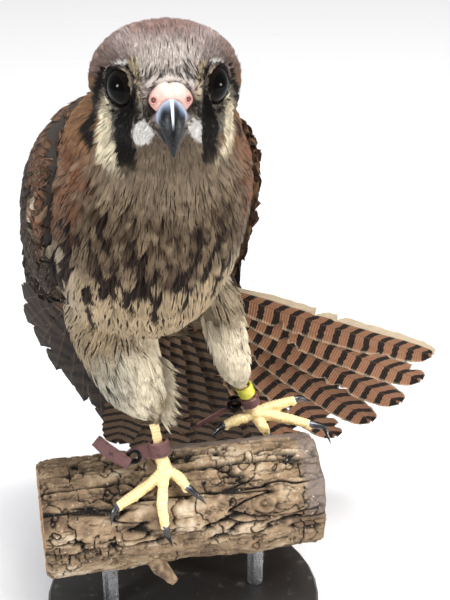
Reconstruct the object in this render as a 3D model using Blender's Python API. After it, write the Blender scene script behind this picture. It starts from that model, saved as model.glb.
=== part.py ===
"""A life-size female American kestrel on a short cut log, carried by a plain display stand.

Every size is in millimetres and is turned into metres where a mesh is made. Points are measured
from a place inside the log, LOG_HEIGHT above the middle of the stand's underside. +Z is up, the bird
faces -Y, and the origin is the centre of the stand base's underside.
"""

import math

import bmesh
import bpy
import numpy as np

MM = 0.001
GAP = 0.3

LOG_HEIGHT = 44.0
LOG_MIDDLE = np.array((-0.7, 0.0, 1.9))
LOG_LENGTH = 98.0
LOG_RADIUS = 20.4
LOG_YAW = math.radians(12.0)

BODY_LEFT = np.array((0.971, 0.239, 0.0))
HEAD_LEFT = np.array((0.994, 0.105, 0.0))
HEAD_FORWARD = np.array((0.105, -0.994, 0.0))
UP = np.array((0.0, 0.0, 1.0))
BETWEEN_EYES = np.array((0.3, -51.5, 172.0))


# Helpers for points, meshes and Booleans

def clear_scene():
    for old in list(bpy.data.objects):
        bpy.data.objects.remove(old, do_unlink=True)


def unit(v):
    v = np.asarray(v, float)
    return v / np.linalg.norm(v)


def spline(rows, count):
    """Points evenly spaced in parameter on a smooth curve through the rows."""
    rows = np.asarray(rows, float)
    ends = np.vstack((2 * rows[0] - rows[1], rows, 2 * rows[-1] - rows[-2]))
    found = []
    for place in np.linspace(0, len(rows) - 1, count):
        i = min(int(place), len(rows) - 2)
        t = place - i
        a, b, c, d = ends[i : i + 4]
        found.append(
            0.5 * (2 * b + (c - a) * t + (2 * a - 5 * b + 4 * c - d) * t**2 + (3 * b - a - 3 * c + d) * t**3)
        )
    return np.array(found)


def material(name, colour, roughness, metallic=0.0):
    made = bpy.data.materials.new(name)
    made.use_nodes = True
    shader = made.node_tree.nodes["Principled BSDF"]
    shader.inputs["Base Color"].default_value = (*colour, 1.0)
    shader.inputs["Roughness"].default_value = roughness
    shader.inputs["Metallic"].default_value = metallic
    return made


def solid(name, points, faces, finish):
    """An object from points in millimetres about the log's middle, with its faces turned out."""
    mesh = bpy.data.meshes.new(name)
    placed = [((x * MM), (y * MM), ((z + LOG_HEIGHT) * MM)) for x, y, z in points]
    mesh.from_pydata(placed, [], [tuple(int(i) for i in face) for face in faces])
    edit = bmesh.new()
    edit.from_mesh(mesh)
    bmesh.ops.recalc_face_normals(edit, faces=edit.faces)
    edit.to_mesh(mesh)
    edit.free()
    mesh.materials.append(finish)
    made = bpy.data.objects.new(name, mesh)
    bpy.context.scene.collection.objects.link(made)
    return made


def loft(name, rings, finish):
    """A closed skin over a stack of rings, each with the same number of points."""
    rings = np.asarray(rings, float)
    count, sides = rings.shape[:2]
    faces = [tuple(range(sides)), tuple(range((count - 1) * sides, count * sides))]
    for i in range(count - 1):
        for j in range(sides):
            k = (j + 1) % sides
            faces.append((i * sides + j, i * sides + k, (i + 1) * sides + k, (i + 1) * sides + j))
    return solid(name, rings.reshape(-1, 3), faces, finish)


def plate(name, points, rows, columns, shift, finish):
    """A closed slab between two grids of points that share their rim; the second starts at shift."""
    faces = []
    for i in range(rows - 1):
        for j in range(columns - 1):
            a = i * columns + j
            faces.append((a, a + 1, a + columns + 1, a + columns))
            faces.append((a + shift + columns, a + shift + columns + 1, a + shift + 1, a + shift))
    rim = [*range(columns), *[i * columns + columns - 1 for i in range(1, rows)],
           *range(shift - 2, shift - columns - 1, -1), *[i * columns for i in range(rows - 2, 0, -1)]]
    for a, b in zip(rim, rim[1:] + rim[:1]):
        faces.append((a, b, b + shift, a + shift))
    return solid(name, points, faces, finish)


def tube_rings(path, radii, sides, flat=1.0, side_hint=(0, 0, 1)):
    """Rings round a path. flat is how much narrower a ring is along side_hint than across it."""
    path = np.asarray(path, float)
    rings = []
    for i, centre in enumerate(path):
        along = unit(path[min(i + 1, len(path) - 1)] - path[max(i - 1, 0)])
        across = unit(np.cross(along, side_hint))
        lift = np.cross(across, along)
        rings.append([
            centre + radii[i] * (math.cos(a) * across + flat * math.sin(a) * lift)
            for a in np.arange(sides) * math.tau / sides
        ])
    return rings


def tube(name, rows, count, sides, finish, flat=1.0, side_hint=(0, 0, 1)):
    """A closed tube through rows of x, y, z and radius."""
    line = spline(rows, count)
    return loft(name, tube_rings(line[:, :3], line[:, 3], sides, flat, side_hint), finish)


def ball(name, centre, radius, finish, segments=16, rings=9, pole=UP):
    """A round ball, its poles along pole."""
    pole = unit(pole)
    side = unit(np.cross(pole, (0.31, 0.17, 0.93)))
    other = np.cross(pole, side)
    points = [np.asarray(centre) + radius * pole]
    for i in range(1, rings):
        polar = math.pi * i / rings
        for j in range(segments):
            a = math.tau * j / segments
            flat = math.cos(a) * side + math.sin(a) * other
            points.append(np.asarray(centre) + radius * (math.cos(polar) * pole + math.sin(polar) * flat))
    points.append(np.asarray(centre) - radius * pole)
    faces = []
    for j in range(segments):
        k = (j + 1) % segments
        faces.append((0, 1 + j, 1 + k))
        faces.append((len(points) - 1, 1 + (rings - 2) * segments + k, 1 + (rings - 2) * segments + j))
        for i in range(rings - 2):
            a = 1 + i * segments
            faces.append((a + j, a + segments + j, a + segments + k, a + k))
    return solid(name, points, faces, finish)


def settle(obj):
    """Replaces the object's mesh by what its modifiers make of it."""
    graph = bpy.context.evaluated_depsgraph_get()
    made = bpy.data.meshes.new_from_object(obj.evaluated_get(graph))
    obj.modifiers.clear()
    obj.data = made


def keep_largest(obj):
    """Drops flaps that have no thickness, then every closed surface but the one that holds most."""
    edit = bmesh.new()
    edit.from_mesh(obj.data)
    by_corners = {}
    for face in edit.faces:
        by_corners.setdefault(frozenset(face.verts), []).append(face)
    flaps = [face for same in by_corners.values() if len(same) > 1 for face in same]
    bmesh.ops.delete(edit, geom=flaps, context="FACES")
    left = set(edit.verts)
    islands = []
    while left:
        island, front = set(), [left.pop()]
        while front:
            vert = front.pop()
            island.add(vert)
            for edge in vert.link_edges:
                other = edge.other_vert(vert)
                if other in left:
                    left.remove(other)
                    front.append(other)
        faces = {face for vert in island for face in vert.link_faces}
        corners = [[loop.vert.co for loop in face.loops] for face in faces]
        volume = sum(
            c[0].dot(c[i].cross(c[i + 1])) / 6 for c in corners for i in range(1, len(c) - 1)
        )
        islands.append((volume, island))
    islands.sort(key=lambda pair: pair[0])
    for _, island in islands[:-1]:
        bmesh.ops.delete(edit, geom=list(island), context="VERTS")
    edit.to_mesh(obj.data)
    edit.free()


def boolean(obj, others, operation):
    """Joins or cuts obj with closed mesh objects, which are then removed."""
    group = bpy.data.collections.new(obj.name + "_pieces")
    bpy.context.scene.collection.children.link(group)
    for other in others:
        group.objects.link(other)
        bpy.context.scene.collection.objects.unlink(other)
    step = obj.modifiers.new("join", "BOOLEAN")
    step.operation = operation
    step.solver = "EXACT"
    step.operand_type = "COLLECTION"
    step.collection = group
    bpy.context.view_layer.update()
    settle(obj)
    for other in others:
        bpy.data.objects.remove(other, do_unlink=True)
    bpy.data.collections.remove(group)
    keep_largest(obj)
    return obj


def in_triangles(obj):
    edit = bmesh.new()
    edit.from_mesh(obj.data)
    bmesh.ops.triangulate(edit, faces=edit.faces)
    edit.to_mesh(obj.data)
    edit.free()
    return obj


def smooth(obj, degrees=50):
    obj.data.shade_smooth()
    obj.data.set_sharp_from_angle(angle=math.radians(degrees))
    return obj


def vane(name, root, tip, normal, width, finish, bow=0.0, lean=0.0, thick=0.6, sections=6,
         point=0.22, inner=1.0, start=0.4):
    """One feather's vane: a thin, closed, tapered blade with a low shaft ridge on its upper face.

    lean turns it about its own length, as a shingle lies. point is the share of the width left at
    the tip, start the share at the root, and inner is how much wider the trailing web is.
    """
    root, tip = np.asarray(root, float), np.asarray(tip, float)
    along = unit(tip - root)
    side = unit(np.cross(normal, along))
    out = np.cross(along, side)
    turn = math.radians(lean)
    side, out = math.cos(turn) * side + math.sin(turn) * out, math.cos(turn) * out - math.sin(turn) * side
    points = []
    for u in np.linspace(0, 1, sections):
        rise = start + (1 - start) * math.sin(min(1.0, u / 0.45) * math.pi / 2)
        fall = 1.0 if u < 0.72 else point + (1 - point) * math.sqrt(max(0.0, 1 - ((u - 0.72) / 0.28) ** 2))
        half = width / 2 * rise * fall
        middle = root + (tip - root) * u + out * bow * 4 * u * (1 - u)
        depth = thick * (1.0 if u < 0.75 else 0.8)
        left, right = middle - side * half, middle + side * half * inner
        for face in (1, -1):
            ridge = 0.25 if face == 1 else 0.0
            points += [left + out * face * depth / 2, middle + out * (face * depth / 2 + ridge),
                       right + out * face * depth / 2]
    faces = []
    for i in range(sections - 1):
        a, b = 6 * i, 6 * (i + 1)
        for base in (0, 3):
            for j in (0, 1):
                p, q, r, s = a + base + j, a + base + j + 1, b + base + j + 1, b + base + j
                faces += [(p, q, r), (p, r, s)]
        for j in (0, 2):
            faces += [(a + j, b + j, b + j + 3), (a + j, b + j + 3, a + j + 3)]
    for a in (0, 6 * (sections - 1)):
        faces += [(a, a + 1, a + 4), (a, a + 4, a + 3), (a + 1, a + 2, a + 5), (a + 1, a + 5, a + 4)]
    return solid(name, points, faces, finish)


# Finishes, as plain colours read off the real bird, log and leather

BROWN_FEATHER = material("brown_feather", (0.20, 0.11, 0.06), 0.8)
BREAST_FEATHER = material("breast_feather", (0.42, 0.33, 0.23), 0.85)
HEAD_FEATHER = material("head_feather", (0.33, 0.29, 0.27), 0.85)
RUFOUS_FEATHER = material("rufous_feather", (0.36, 0.17, 0.08), 0.75)
PALE_FEATHER = material("pale_feather", (0.62, 0.54, 0.40), 0.85)
CERE_SKIN = material("cere_skin", (0.78, 0.56, 0.48), 0.5)
BILL_HORN = material("bill_horn", (0.14, 0.17, 0.23), 0.25)
EYE_DARK = material("eye_dark", (0.012, 0.009, 0.008), 0.05)
LEG_SKIN = material("leg_skin", (0.78, 0.58, 0.25), 0.5)
CLAW_HORN = material("claw_horn", (0.02, 0.02, 0.025), 0.2)
BARK = material("bark", (0.26, 0.19, 0.12), 0.9)
LEATHER = material("leather", (0.16, 0.05, 0.04), 0.6)
EYELET = material("eyelet", (0.02, 0.02, 0.02), 0.25, 0.8)
RING_PLASTIC = material("ring_plastic", (0.55, 0.52, 0.08), 0.4)
STAND_PAINT = material("stand_paint", (0.05, 0.05, 0.05), 0.4)
STAND_STEEL = material("stand_steel", (0.5, 0.5, 0.52), 0.3, 1.0)


# The log: a short cut branch, a little uneven, with a broken twig low on its front

def log_point(turn, along, grow=0.0):
    """A point on the bark. turn is the angle back from straight up, along runs from the middle."""
    uneven = 0.35 * math.sin(2 * turn + 0.6) + 0.3 * math.sin(3 * turn + along / 19.0)
    radius = LOG_RADIUS + uneven + grow
    axis = np.array((math.cos(LOG_YAW), math.sin(LOG_YAW), 0.0))
    back = np.array((-math.sin(LOG_YAW), math.cos(LOG_YAW), 0.0))
    return LOG_MIDDLE + axis * along + radius * (math.sin(turn) * back + math.cos(turn) * UP)


def log_form(name, grow=0.0, sides=26, stations=7):
    """The log's bark surface, grown outwards when it is used to cut what rests on it."""
    half = LOG_LENGTH / 2 + grow
    rounding = 1.2
    places = [-half, *np.linspace(-half + rounding, half - rounding, stations), half]
    rings = []
    for i, along in enumerate(places):
        shrink = rounding if i in (0, len(places) - 1) else 0.0
        rings.append([log_point(a, along, grow - shrink) for a in np.arange(sides) * math.tau / sides])
    return loft(name, rings, BARK)


def build_log():
    log = log_form("perch_log")
    root = log_point(math.radians(-128), -12.0, -4.0)
    end = log_point(math.radians(-133), -5.5, 7.0)
    middle = log_point(math.radians(-130), -10.0, 1.5)
    twig = tube("twig", [(*root, 4.2), (*middle, 2.7), (*end, 1.5)], 4, 8, BARK)
    return smooth(boolean(log, [twig], "UNION"), 40)


# The stand: a flat round base and two short rods up to the log

BASE_RADIUS = 50.0
BASE_THICKNESS = 6.0
ROD_RADIUS = 3.0
ROD_PLACES = (-26.0, 28.0)


def disc_rings(radius, bottom, top, rounding, sides):
    steps = [(radius - rounding, bottom), (radius, bottom + rounding), (radius, top - rounding),
             (radius - rounding, top)]
    return [
        [(r * math.cos(a), r * math.sin(a), z) for a in np.arange(sides) * math.tau / sides]
        for r, z in steps
    ]


def build_stand():
    floor = -LOG_HEIGHT
    base_top = floor + BASE_THICKNESS
    smooth(loft("stand_base", disc_rings(BASE_RADIUS, floor, base_top, 0.8, 40), STAND_PAINT), 30)
    for number, along in enumerate(ROD_PLACES, 1):
        centre = log_point(0, along, -LOG_RADIUS)
        rings = [
            [(centre[0] + ROD_RADIUS * math.cos(a), centre[1] + ROD_RADIUS * math.sin(a), z)
             for a in np.arange(14) * math.tau / 14]
            for z in (base_top + GAP, -LOG_RADIUS + 5)
        ]
        rod = loft(f"stand_rod_{number}", rings, STAND_STEEL)
        smooth(boolean(rod, [log_form("cutter", GAP)], "DIFFERENCE"), 30)


# The trunk of the bird: one form from the throat to the tail's root, parted into neck and torso

# Each row: x, y, z of the middle, then half the width and half the depth.
TRUNK = (
    (-0.5, -42.0, 166.0, 17.0, 15.5),
    (-1.5, -39.5, 158.0, 22.5, 19.5),
    (-3.5, -34.0, 149.0, 27.5, 24.5),
    (-6.0, -27.0, 138.0, 31.0, 28.0),
    (-8.5, -19.5, 125.0, 32.0, 29.5),
    (-10.5, -10.0, 109.0, 31.0, 29.0),
    (-12.0, 1.0, 95.0, 27.0, 26.0),
    (-13.0, 11.0, 86.0, 20.5, 20.0),
    (-14.0, 19.0, 80.5, 15.0, 13.5),
    (-14.5, 26.0, 76.0, 11.5, 8.5),
)
TRUNK_STEPS = len(TRUNK) - 1


def trunk_frame(place):
    """Middle, left and back directions and half sizes at a place from 0, throat, to 1, tail root."""
    rows = spline(TRUNK, 10 * TRUNK_STEPS + 1)
    at = place * (len(rows) - 1)
    i = min(int(at), len(rows) - 2)
    row = rows[i] + (rows[i + 1] - rows[i]) * (at - i)
    low, high = rows[max(i - 2, 0)], rows[min(i + 3, len(rows) - 1)]
    down = unit(high[:3] - low[:3])
    left = unit(BODY_LEFT - np.dot(BODY_LEFT, down) * down)
    return row[:3], left, np.cross(left, down), row[3], row[4]


def trunk_point(place, turn, grow=0.0):
    """A point on the trunk. turn is 0 at the bird's left, a quarter at its back."""
    middle, left, back, width, depth = trunk_frame(place)
    return middle + (width + grow) * math.cos(turn) * left + (depth + grow) * math.sin(turn) * back


def trunk_form(name, grow=0.0, sides=24, rings=16):
    turns = np.arange(sides) * math.tau / sides
    places = np.linspace(0.0, 1.0, rings)
    return loft(name, [[trunk_point(p, a, grow) for a in turns] for p in places], BREAST_FEATHER)


def part_by_plane(obj, point, normal, keep_above):
    """Keeps one side of a plane and closes the cut."""
    edit = bmesh.new()
    edit.from_mesh(obj.data)
    at = ((point[0]) * MM, (point[1]) * MM, (point[2] + LOG_HEIGHT) * MM)
    geometry = list(edit.verts) + list(edit.edges) + list(edit.faces)
    cut = bmesh.ops.bisect_plane(edit, geom=geometry, dist=1e-7, plane_co=at, plane_no=tuple(normal),
                                 clear_inner=keep_above, clear_outer=not keep_above)
    rim = [item for item in cut["geom_cut"] if isinstance(item, bmesh.types.BMEdge)]
    bmesh.ops.edgeloop_fill(edit, edges=rim)
    bmesh.ops.triangulate(edit, faces=[face for face in edit.faces if len(face.verts) > 4])
    bmesh.ops.recalc_face_normals(edit, faces=edit.faces)
    edit.to_mesh(obj.data)
    edit.free()
    return obj


# The head, measured from the point between the eyes: forward, half width, top and bottom

HEAD = (
    (-26.0, 5.0, 3.5, -6.0),
    (-23.5, 11.5, 9.0, -13.0),
    (-18.0, 17.0, 13.0, -18.5),
    (-11.0, 20.6, 15.4, -21.5),
    (-4.0, 21.0, 15.8, -21.5),
    (2.0, 18.8, 14.6, -19.5),
    (7.0, 15.2, 12.2, -15.8),
    (11.0, 11.4, 8.8, -11.6),
    (14.0, 8.2, 5.4, -8.6),
    (16.0, 6.0, 3.4, -6.9),
)
EYE_SIDE = 9.7
EYE_FORWARD = 3.8
EYE_UP = 1.3
EYE_RADIUS = 6.0
EYE_AXIS = (0.64, 0.76, 0.04)
LID_FORWARD = 2.4
LID_REACH = 5.72
LID_RADIUS = 1.04


def head_place(forward, left, up):
    return BETWEEN_EYES + forward * HEAD_FORWARD + left * HEAD_LEFT + up * UP


def eye_centre(side):
    return head_place(EYE_FORWARD, side * EYE_SIDE, EYE_UP)


def eye_axis(side):
    forward, left, up = EYE_AXIS
    return unit(forward * HEAD_FORWARD + side * left * HEAD_LEFT + up * UP)


def head_rings(sides=24, count=14):
    rings = []
    for forward, width, top, bottom in spline(HEAD, count):
        ring = []
        for a in np.arange(sides) * math.tau / sides:
            left, up = math.cos(a), math.sin(a)
            reach = top if up > 0 else -bottom
            level = up * reach
            pinch = 2.6 * math.exp(-(((level - 1.5) / 5.5) ** 2) - ((forward - 5.0) / 6.5) ** 2)
            brow = 1.0 * math.exp(-(((level - 8.0) / 3.0) ** 2) - ((forward - 4.0) / 7.0) ** 2)
            wide = abs(left) ** 0.92 * math.copysign(width - pinch + brow, left)
            ring.append(head_place(forward, wide, level))
        rings.append(ring)
    return rings


def lid(name, side):
    """The rim of bare skin and tiny feathers that frames the eye."""
    centre, axis = eye_centre(side), eye_axis(side)
    across = unit(np.cross(UP, axis))
    high = np.cross(axis, across)
    rings = []
    for a in np.arange(16) * math.tau / 16:
        out = math.cos(a) * across + math.sin(a) * high
        middle = centre + axis * LID_FORWARD + out * LID_REACH
        ring = []
        for b in np.arange(6) * math.tau / 6:
            ring.append(middle + LID_RADIUS * (math.cos(b) * out + math.sin(b) * axis))
        rings.append(ring)
    points = np.array(rings).reshape(-1, 3)
    faces = []
    for i in range(16):
        k = (i + 1) % 16
        for j in range(6):
            m = (j + 1) % 6
            faces.append((i * 6 + j, i * 6 + m, k * 6 + m, k * 6 + j))
    return solid(name, points, faces, HEAD_FEATHER)


HEAD_CUT = (np.array((-1.0, -40.5, 154.0)), unit((0.02, -0.25, 0.97)))
NECK_CUT = (np.array((-6.5, -26.0, 135.0)), unit((0.10, -0.45, 0.89)))


def build_head_and_trunk():
    whole = loft("head", head_rings(), HEAD_FEATHER)
    boolean(whole, [trunk_form("trunk")], "UNION")
    for name, finish in (("neck", BREAST_FEATHER), ("torso", BREAST_FEATHER)):
        copy = bpy.data.objects.new(name, whole.data.copy())
        copy.data.materials.clear()
        copy.data.materials.append(finish)
        bpy.context.scene.collection.objects.link(copy)
    head, neck, torso = (bpy.data.objects[name] for name in ("head", "neck", "torso"))
    point, normal = HEAD_CUT
    part_by_plane(head, point + normal * GAP / 2, normal, True)
    part_by_plane(neck, point - normal * GAP / 2, normal, False)
    point, normal = NECK_CUT
    part_by_plane(neck, point + normal * GAP / 2, normal, True)
    part_by_plane(torso, point - normal * GAP / 2, normal, False)
    boolean(head, [lid(f"lid_{side}", side) for side in (1, -1)], "UNION")
    sockets = [ball("socket", eye_centre(side), EYE_RADIUS + GAP, HEAD_FEATHER, 14, 9, eye_axis(side))
               for side in (1, -1)]
    boolean(head, sockets, "DIFFERENCE")
    for obj in (head, neck, torso):
        smooth(obj)
    for side, name in ((1, "eye_left"), (-1, "eye_right")):
        smooth(ball(name, eye_centre(side), EYE_RADIUS, EYE_DARK, 14, 9, eye_axis(side)))


# The bill: a swollen cere with its nostrils, the hooked upper bill and the short lower one

# Each row: forward and up of the ridge, forward and up of the edge, half width.
CERE = (
    (12.6, 5.4, 12.6, -4.2, 5.9),
    (14.5, 4.6, 14.4, -4.4, 5.8),
    (16.4, 3.5, 16.2, -4.6, 5.3),
    (17.9, 2.4, 17.6, -4.8, 4.4),
)
UPPER_BILL = (
    (18.25, 2.0, 16.7, -6.2, 3.6),
    (20.2, 1.0, 18.6, -6.5, 3.2),
    (22.0, -1.0, 20.2, -7.0, 2.9),
    (23.2, -3.8, 21.0, -7.7, 2.35),
    (23.7, -6.8, 21.4, -9.2, 1.55),
    (23.5, -9.3, 22.0, -10.6, 0.9),
    (22.9, -11.4, 22.5, -11.5, 0.4),
)
LOWER_BILL = ((13.0, -8.0, 3.6, 1.5), (16.0, -8.2, 3.4, 1.5), (18.4, -8.5, 2.6, 1.2), (20.0, -8.9, 1.5, 0.7))
NOSTRIL = (16.3, 4.1, 1.1)
NOSTRIL_RADIUS = 0.8
NOSTRIL_RIM_RADIUS = 1.7


def bill_rings(rows, count, sides=12):
    """Rings between the ridge line and the cutting edge, narrower at the ridge than below."""
    rings = []
    for ridge_f, ridge_u, edge_f, edge_u, width in spline(rows, count):
        ring = []
        for a in np.arange(sides) * math.tau / sides:
            high = 0.5 + 0.5 * math.sin(a)
            forward = edge_f + (ridge_f - edge_f) * high
            up = edge_u + (ridge_u - edge_u) * high
            ring.append(head_place(forward, width * math.cos(a) * (1.0 - 0.18 * math.sin(a)), up))
        rings.append(ring)
    return rings


def nostril_rim(side, radius):
    forward, left, up = NOSTRIL
    return ball("nostril_rim", head_place(forward - 0.9, side * left, up), radius, CERE_SKIN, 10, 6)


def build_bill():
    cere = loft("cere", bill_rings(CERE, 6, 16), CERE_SKIN)
    boolean(cere, [nostril_rim(side, NOSTRIL_RIM_RADIUS) for side in (1, -1)], "UNION")
    pits = []
    for side in (1, -1):
        forward, left, up = NOSTRIL
        inner = head_place(forward - 1.2, side * (left - 0.6), up)
        outer = head_place(forward + 3.0, side * (left + 1.6), up)
        pits.append(loft("pit", tube_rings([inner, outer], [NOSTRIL_RADIUS] * 2, 8), CERE_SKIN))
    boolean(cere, pits, "DIFFERENCE")
    boolean(cere, [loft("bill_cut", bill_rings([
        (row[0] - GAP, row[1] + GAP, row[2] - GAP, row[3] - GAP, row[4] + GAP) for row in UPPER_BILL
    ], 9), CERE_SKIN)], "DIFFERENCE")
    smooth(cere, 60)
    smooth(loft("bill_upper", bill_rings(UPPER_BILL, 12, 14), BILL_HORN), 60)
    rings = []
    for forward, up, width, depth in spline(LOWER_BILL, 6):
        rings.append([
            head_place(forward, width * math.cos(a), up + depth * min(math.sin(a), 0.55))
            for a in np.arange(12) * math.tau / 12
        ])
    smooth(loft("bill_lower", rings, BILL_HORN), 60)
    grown = [
        (ridge_f, ridge_u + GAP, edge_f - 0.2, edge_u - GAP, width + GAP)
        for ridge_f, ridge_u, edge_f, edge_u, width in CERE
    ]
    head = bpy.data.objects["head"]
    cutters = [loft("cere_cut", bill_rings(grown, 6, 16), HEAD_FEATHER)]
    cutters += [nostril_rim(side, NOSTRIL_RIM_RADIUS + GAP) for side in (1, -1)]
    rings = []
    for forward, up, width, depth in spline(LOWER_BILL, 6):
        width, depth = width + GAP, depth + GAP
        rings.append([
            head_place(forward - GAP, width * math.cos(a), up + depth * min(math.sin(a), 0.7))
            for a in np.arange(12) * math.tau / 12
        ])
    cutters.append(loft("lower_cut", rings, HEAD_FEATHER))
    smooth(in_triangles(boolean(head, cutters, "DIFFERENCE")))
    jaw = bpy.data.objects["bill_lower"]
    grown_upper = [
        (row[0], row[1], row[2], row[3] - GAP, row[4] + GAP) for row in (*CERE[:3], *UPPER_BILL)
    ]
    smooth(boolean(jaw, [loft("upper_cut", bill_rings(grown_upper, 14), BILL_HORN)], "DIFFERENCE"), 60)


# The tail: a wide fan of twelve feathers, spread further on the bird's left

TAIL_APEX = np.array((-9.0, 24.6, 86.2))
TAIL_DOWN = unit((0.0, 0.42, -0.91))
TAIL_BACK = unit((0.0, 0.91, 0.42))
TAIL_SIDE = np.array((1.0, 0.0, 0.0))
TAIL_LEFT_TURNS = (24.0, 8.0)
TAIL_RIGHT_TURNS = (18.0, -5.6)
TAIL_LENGTH = 133.0
TAIL_FEATHER_WIDTH = 16.5
TAIL_LAYER = 0.95
# The stub under the coverts that carries the feathers. Each row: x, y, z, half width, half depth.
TAIL_STUB = ((-14.6, 26.4, 75.6, 11.2, 8.2), (-12.0, 31.0, 66.0, 12.0, 6.5), (-7.0, 36.0, 56.0, 12.0, 3.6))
COVERT_FAN_REACH = (5.0, 40.0)
COVERT_FAN_TURNS = (-13.0, 66.0)


def tail_direction(turn_degrees):
    turn = math.radians(turn_degrees)
    return math.sin(turn) * TAIL_SIDE + math.cos(turn) * TAIL_DOWN


def tail_feather_line(side, number):
    """Root and tip of one feather. side is 1 on the left, number is 0 at the middle."""
    first, step = TAIL_LEFT_TURNS if side == 1 else TAIL_RIGHT_TURNS
    along = tail_direction(first + step * number)
    length = TAIL_LENGTH - (1.0 if side == -1 else 0.0) - 0.8 * number**2
    layer = -TAIL_BACK * TAIL_LAYER * (number + (0.5 if side == -1 else 0.0))
    return TAIL_APEX + along * 20 + layer, TAIL_APEX + along * length + layer


def covert_fan(name):
    """The coverts above and below the feather roots, as one wedge that thins towards its edge."""
    columns, rows = 9, 5
    lower, upper = [], []
    for i in range(rows):
        share = i / (rows - 1)
        reach = COVERT_FAN_REACH[0] + (COVERT_FAN_REACH[1] - COVERT_FAN_REACH[0]) * share
        for j in range(columns):
            u = -1 + 2 * j / (columns - 1)
            turn = COVERT_FAN_TURNS[0] + (COVERT_FAN_TURNS[1] - COVERT_FAN_TURNS[0]) * (u + 1) / 2
            at = TAIL_APEX + tail_direction(turn) * reach * (1 - 0.14 * u * u)
            thin = 1 - 0.75 * share**2
            upper.append(at + TAIL_BACK * (-2.4 + 4.2 * thin))
            lower.append(at + TAIL_BACK * (-2.9 - 4.4 * thin))
    shift = rows * columns
    return plate(name, lower + upper, rows, columns, shift, RUFOUS_FEATHER)


def build_tail():
    rings = []
    for x, y, z, width, depth in spline(TAIL_STUB, 5):
        rings.append([
            np.array((x, y, z)) + width * math.cos(a) * unit((0.92, 0.12, 0.37))
            + depth * math.sin(a) * unit((-0.12, 0.92, 0.36))
            for a in np.arange(14) * math.tau / 14
        ])
    tail = loft("tail", rings, RUFOUS_FEATHER)
    pieces = [covert_fan("covert_fan")]
    for side in (1, -1):
        for number in range(6):
            root, tip = tail_feather_line(side, number)
            pieces.append(vane(f"rectrix_{side}_{number}", root, tip, TAIL_BACK, TAIL_FEATHER_WIDTH,
                               RUFOUS_FEATHER, bow=-1.5, sections=6, point=0.3, start=0.35))
    boolean(tail, pieces, "UNION")
    return smooth(boolean(tail, [trunk_form("cutter", GAP)], "DIFFERENCE"), 30)


# The wings: a pad of coverts that hugs the trunk, the hand along its front edge, then tiers of vanes

# Each wing: the rows of its leading edge, x, y, z and radius, from the shoulder down; the line the
# primaries grow from, outermost first; the line the secondaries grow from, outermost first; and
# the places their tips reach. The right wing hangs, its hand tucked back behind the flank.
RIGHT_WING = {
    "side": -1,
    "leading_edge": ((-22.0, -8.0, 141.0, 5.0), (-35.5, -15.5, 138.0, 5.0), (-45.0, -9.0, 112.0, 4.2),
                     (-45.0, 0.0, 88.0, 3.2), (-38.5, 16.0, 76.0, 2.8), (-30.0, 27.5, 69.0, 2.0)),
    "forearm": ((-44.0, 2.0, 96.0), (-41.0, 10.0, 118.0), (-32.0, 22.0, 126.0)),
    "hand": ((-29.0, 28.0, 68.5), (-38.0, 17.0, 77.0), (-44.0, 3.0, 90.0)),
    "primary_tips": ((-35.0, 78.0, -14.0), (-42.5, 75.0, -2.0), (-46.5, 73.0, 7.0), (-52.0, 69.0, 16.5),
                     (-57.0, 66.5, 29.0), (-61.0, 64.0, 41.0), (-61.0, 61.0, 53.0), (-59.0, 58.0, 62.0),
                     (-57.0, 55.0, 70.0), (-54.0, 53.0, 76.0)),
    "secondary_tips": ((-52.0, 53.0, 80.0), (-42.0, 56.0, 78.0), (-28.0, 61.0, 72.0)),
    "lean": 11.0,
}
LEFT_WING = {
    "side": 1,
    "leading_edge": ((8.0, -5.0, 140.0, 5.0), (17.0, -2.0, 134.0, 5.0), (21.5, 7.0, 113.0, 4.0),
                     (19.5, 17.0, 92.0, 2.6)),
    "forearm": ((17.0, 2.0, 136.0), (14.0, 16.0, 132.0), (3.0, 30.0, 122.0)),
    "hand": ((19.5, 17.0, 92.0), (21.0, 9.0, 112.0), (17.5, 1.0, 132.0)),
    "primary_tips": ((8.0, 122.0, -4.0), (4.0, 116.0, 12.0), (0.0, 106.0, 31.0), (-1.0, 96.0, 47.0),
                     (2.0, 84.0, 61.0)),
    "secondary_tips": ((6.0, 74.0, 70.0), (0.0, 70.0, 72.0), (-8.0, 64.0, 72.0)),
    "lean": -11.0,
}
PRIMARIES = 10
SECONDARIES = 6
PAD_MIDDLE = math.radians(32)
PAD_REACH = math.radians(54)
PAD_PLACES = (0.26, 0.80)
PAD_THICKNESS = 4.5


def wing_pad(name, side):
    """The shoulder and its small coverts: a lens whose inner half is cut away where it meets the trunk."""
    across, lengthwise = 9, 8
    inner, outer = [], []
    start, end = PAD_PLACES
    for i in range(lengthwise):
        u = -1 + 2 * i / (lengthwise - 1)
        for j in range(across):
            v = -1 + 2 * j / (across - 1)
            place = (start + end) / 2 + (end - start) / 2 * u
            swing = PAD_REACH * v * math.sqrt(1 - 0.55 * u * u)
            turn = PAD_MIDDLE + swing if side == 1 else math.pi - PAD_MIDDLE - swing
            dome = 1.0 + PAD_THICKNESS * math.sqrt(1 - u * u) * math.sqrt(1 - v**4)
            inner.append(trunk_point(place, turn, -2.0))
            outer.append(trunk_point(place, turn, GAP + dome))
    return plate(name, inner + outer, lengthwise, across, across * lengthwise, BROWN_FEATHER)


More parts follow.
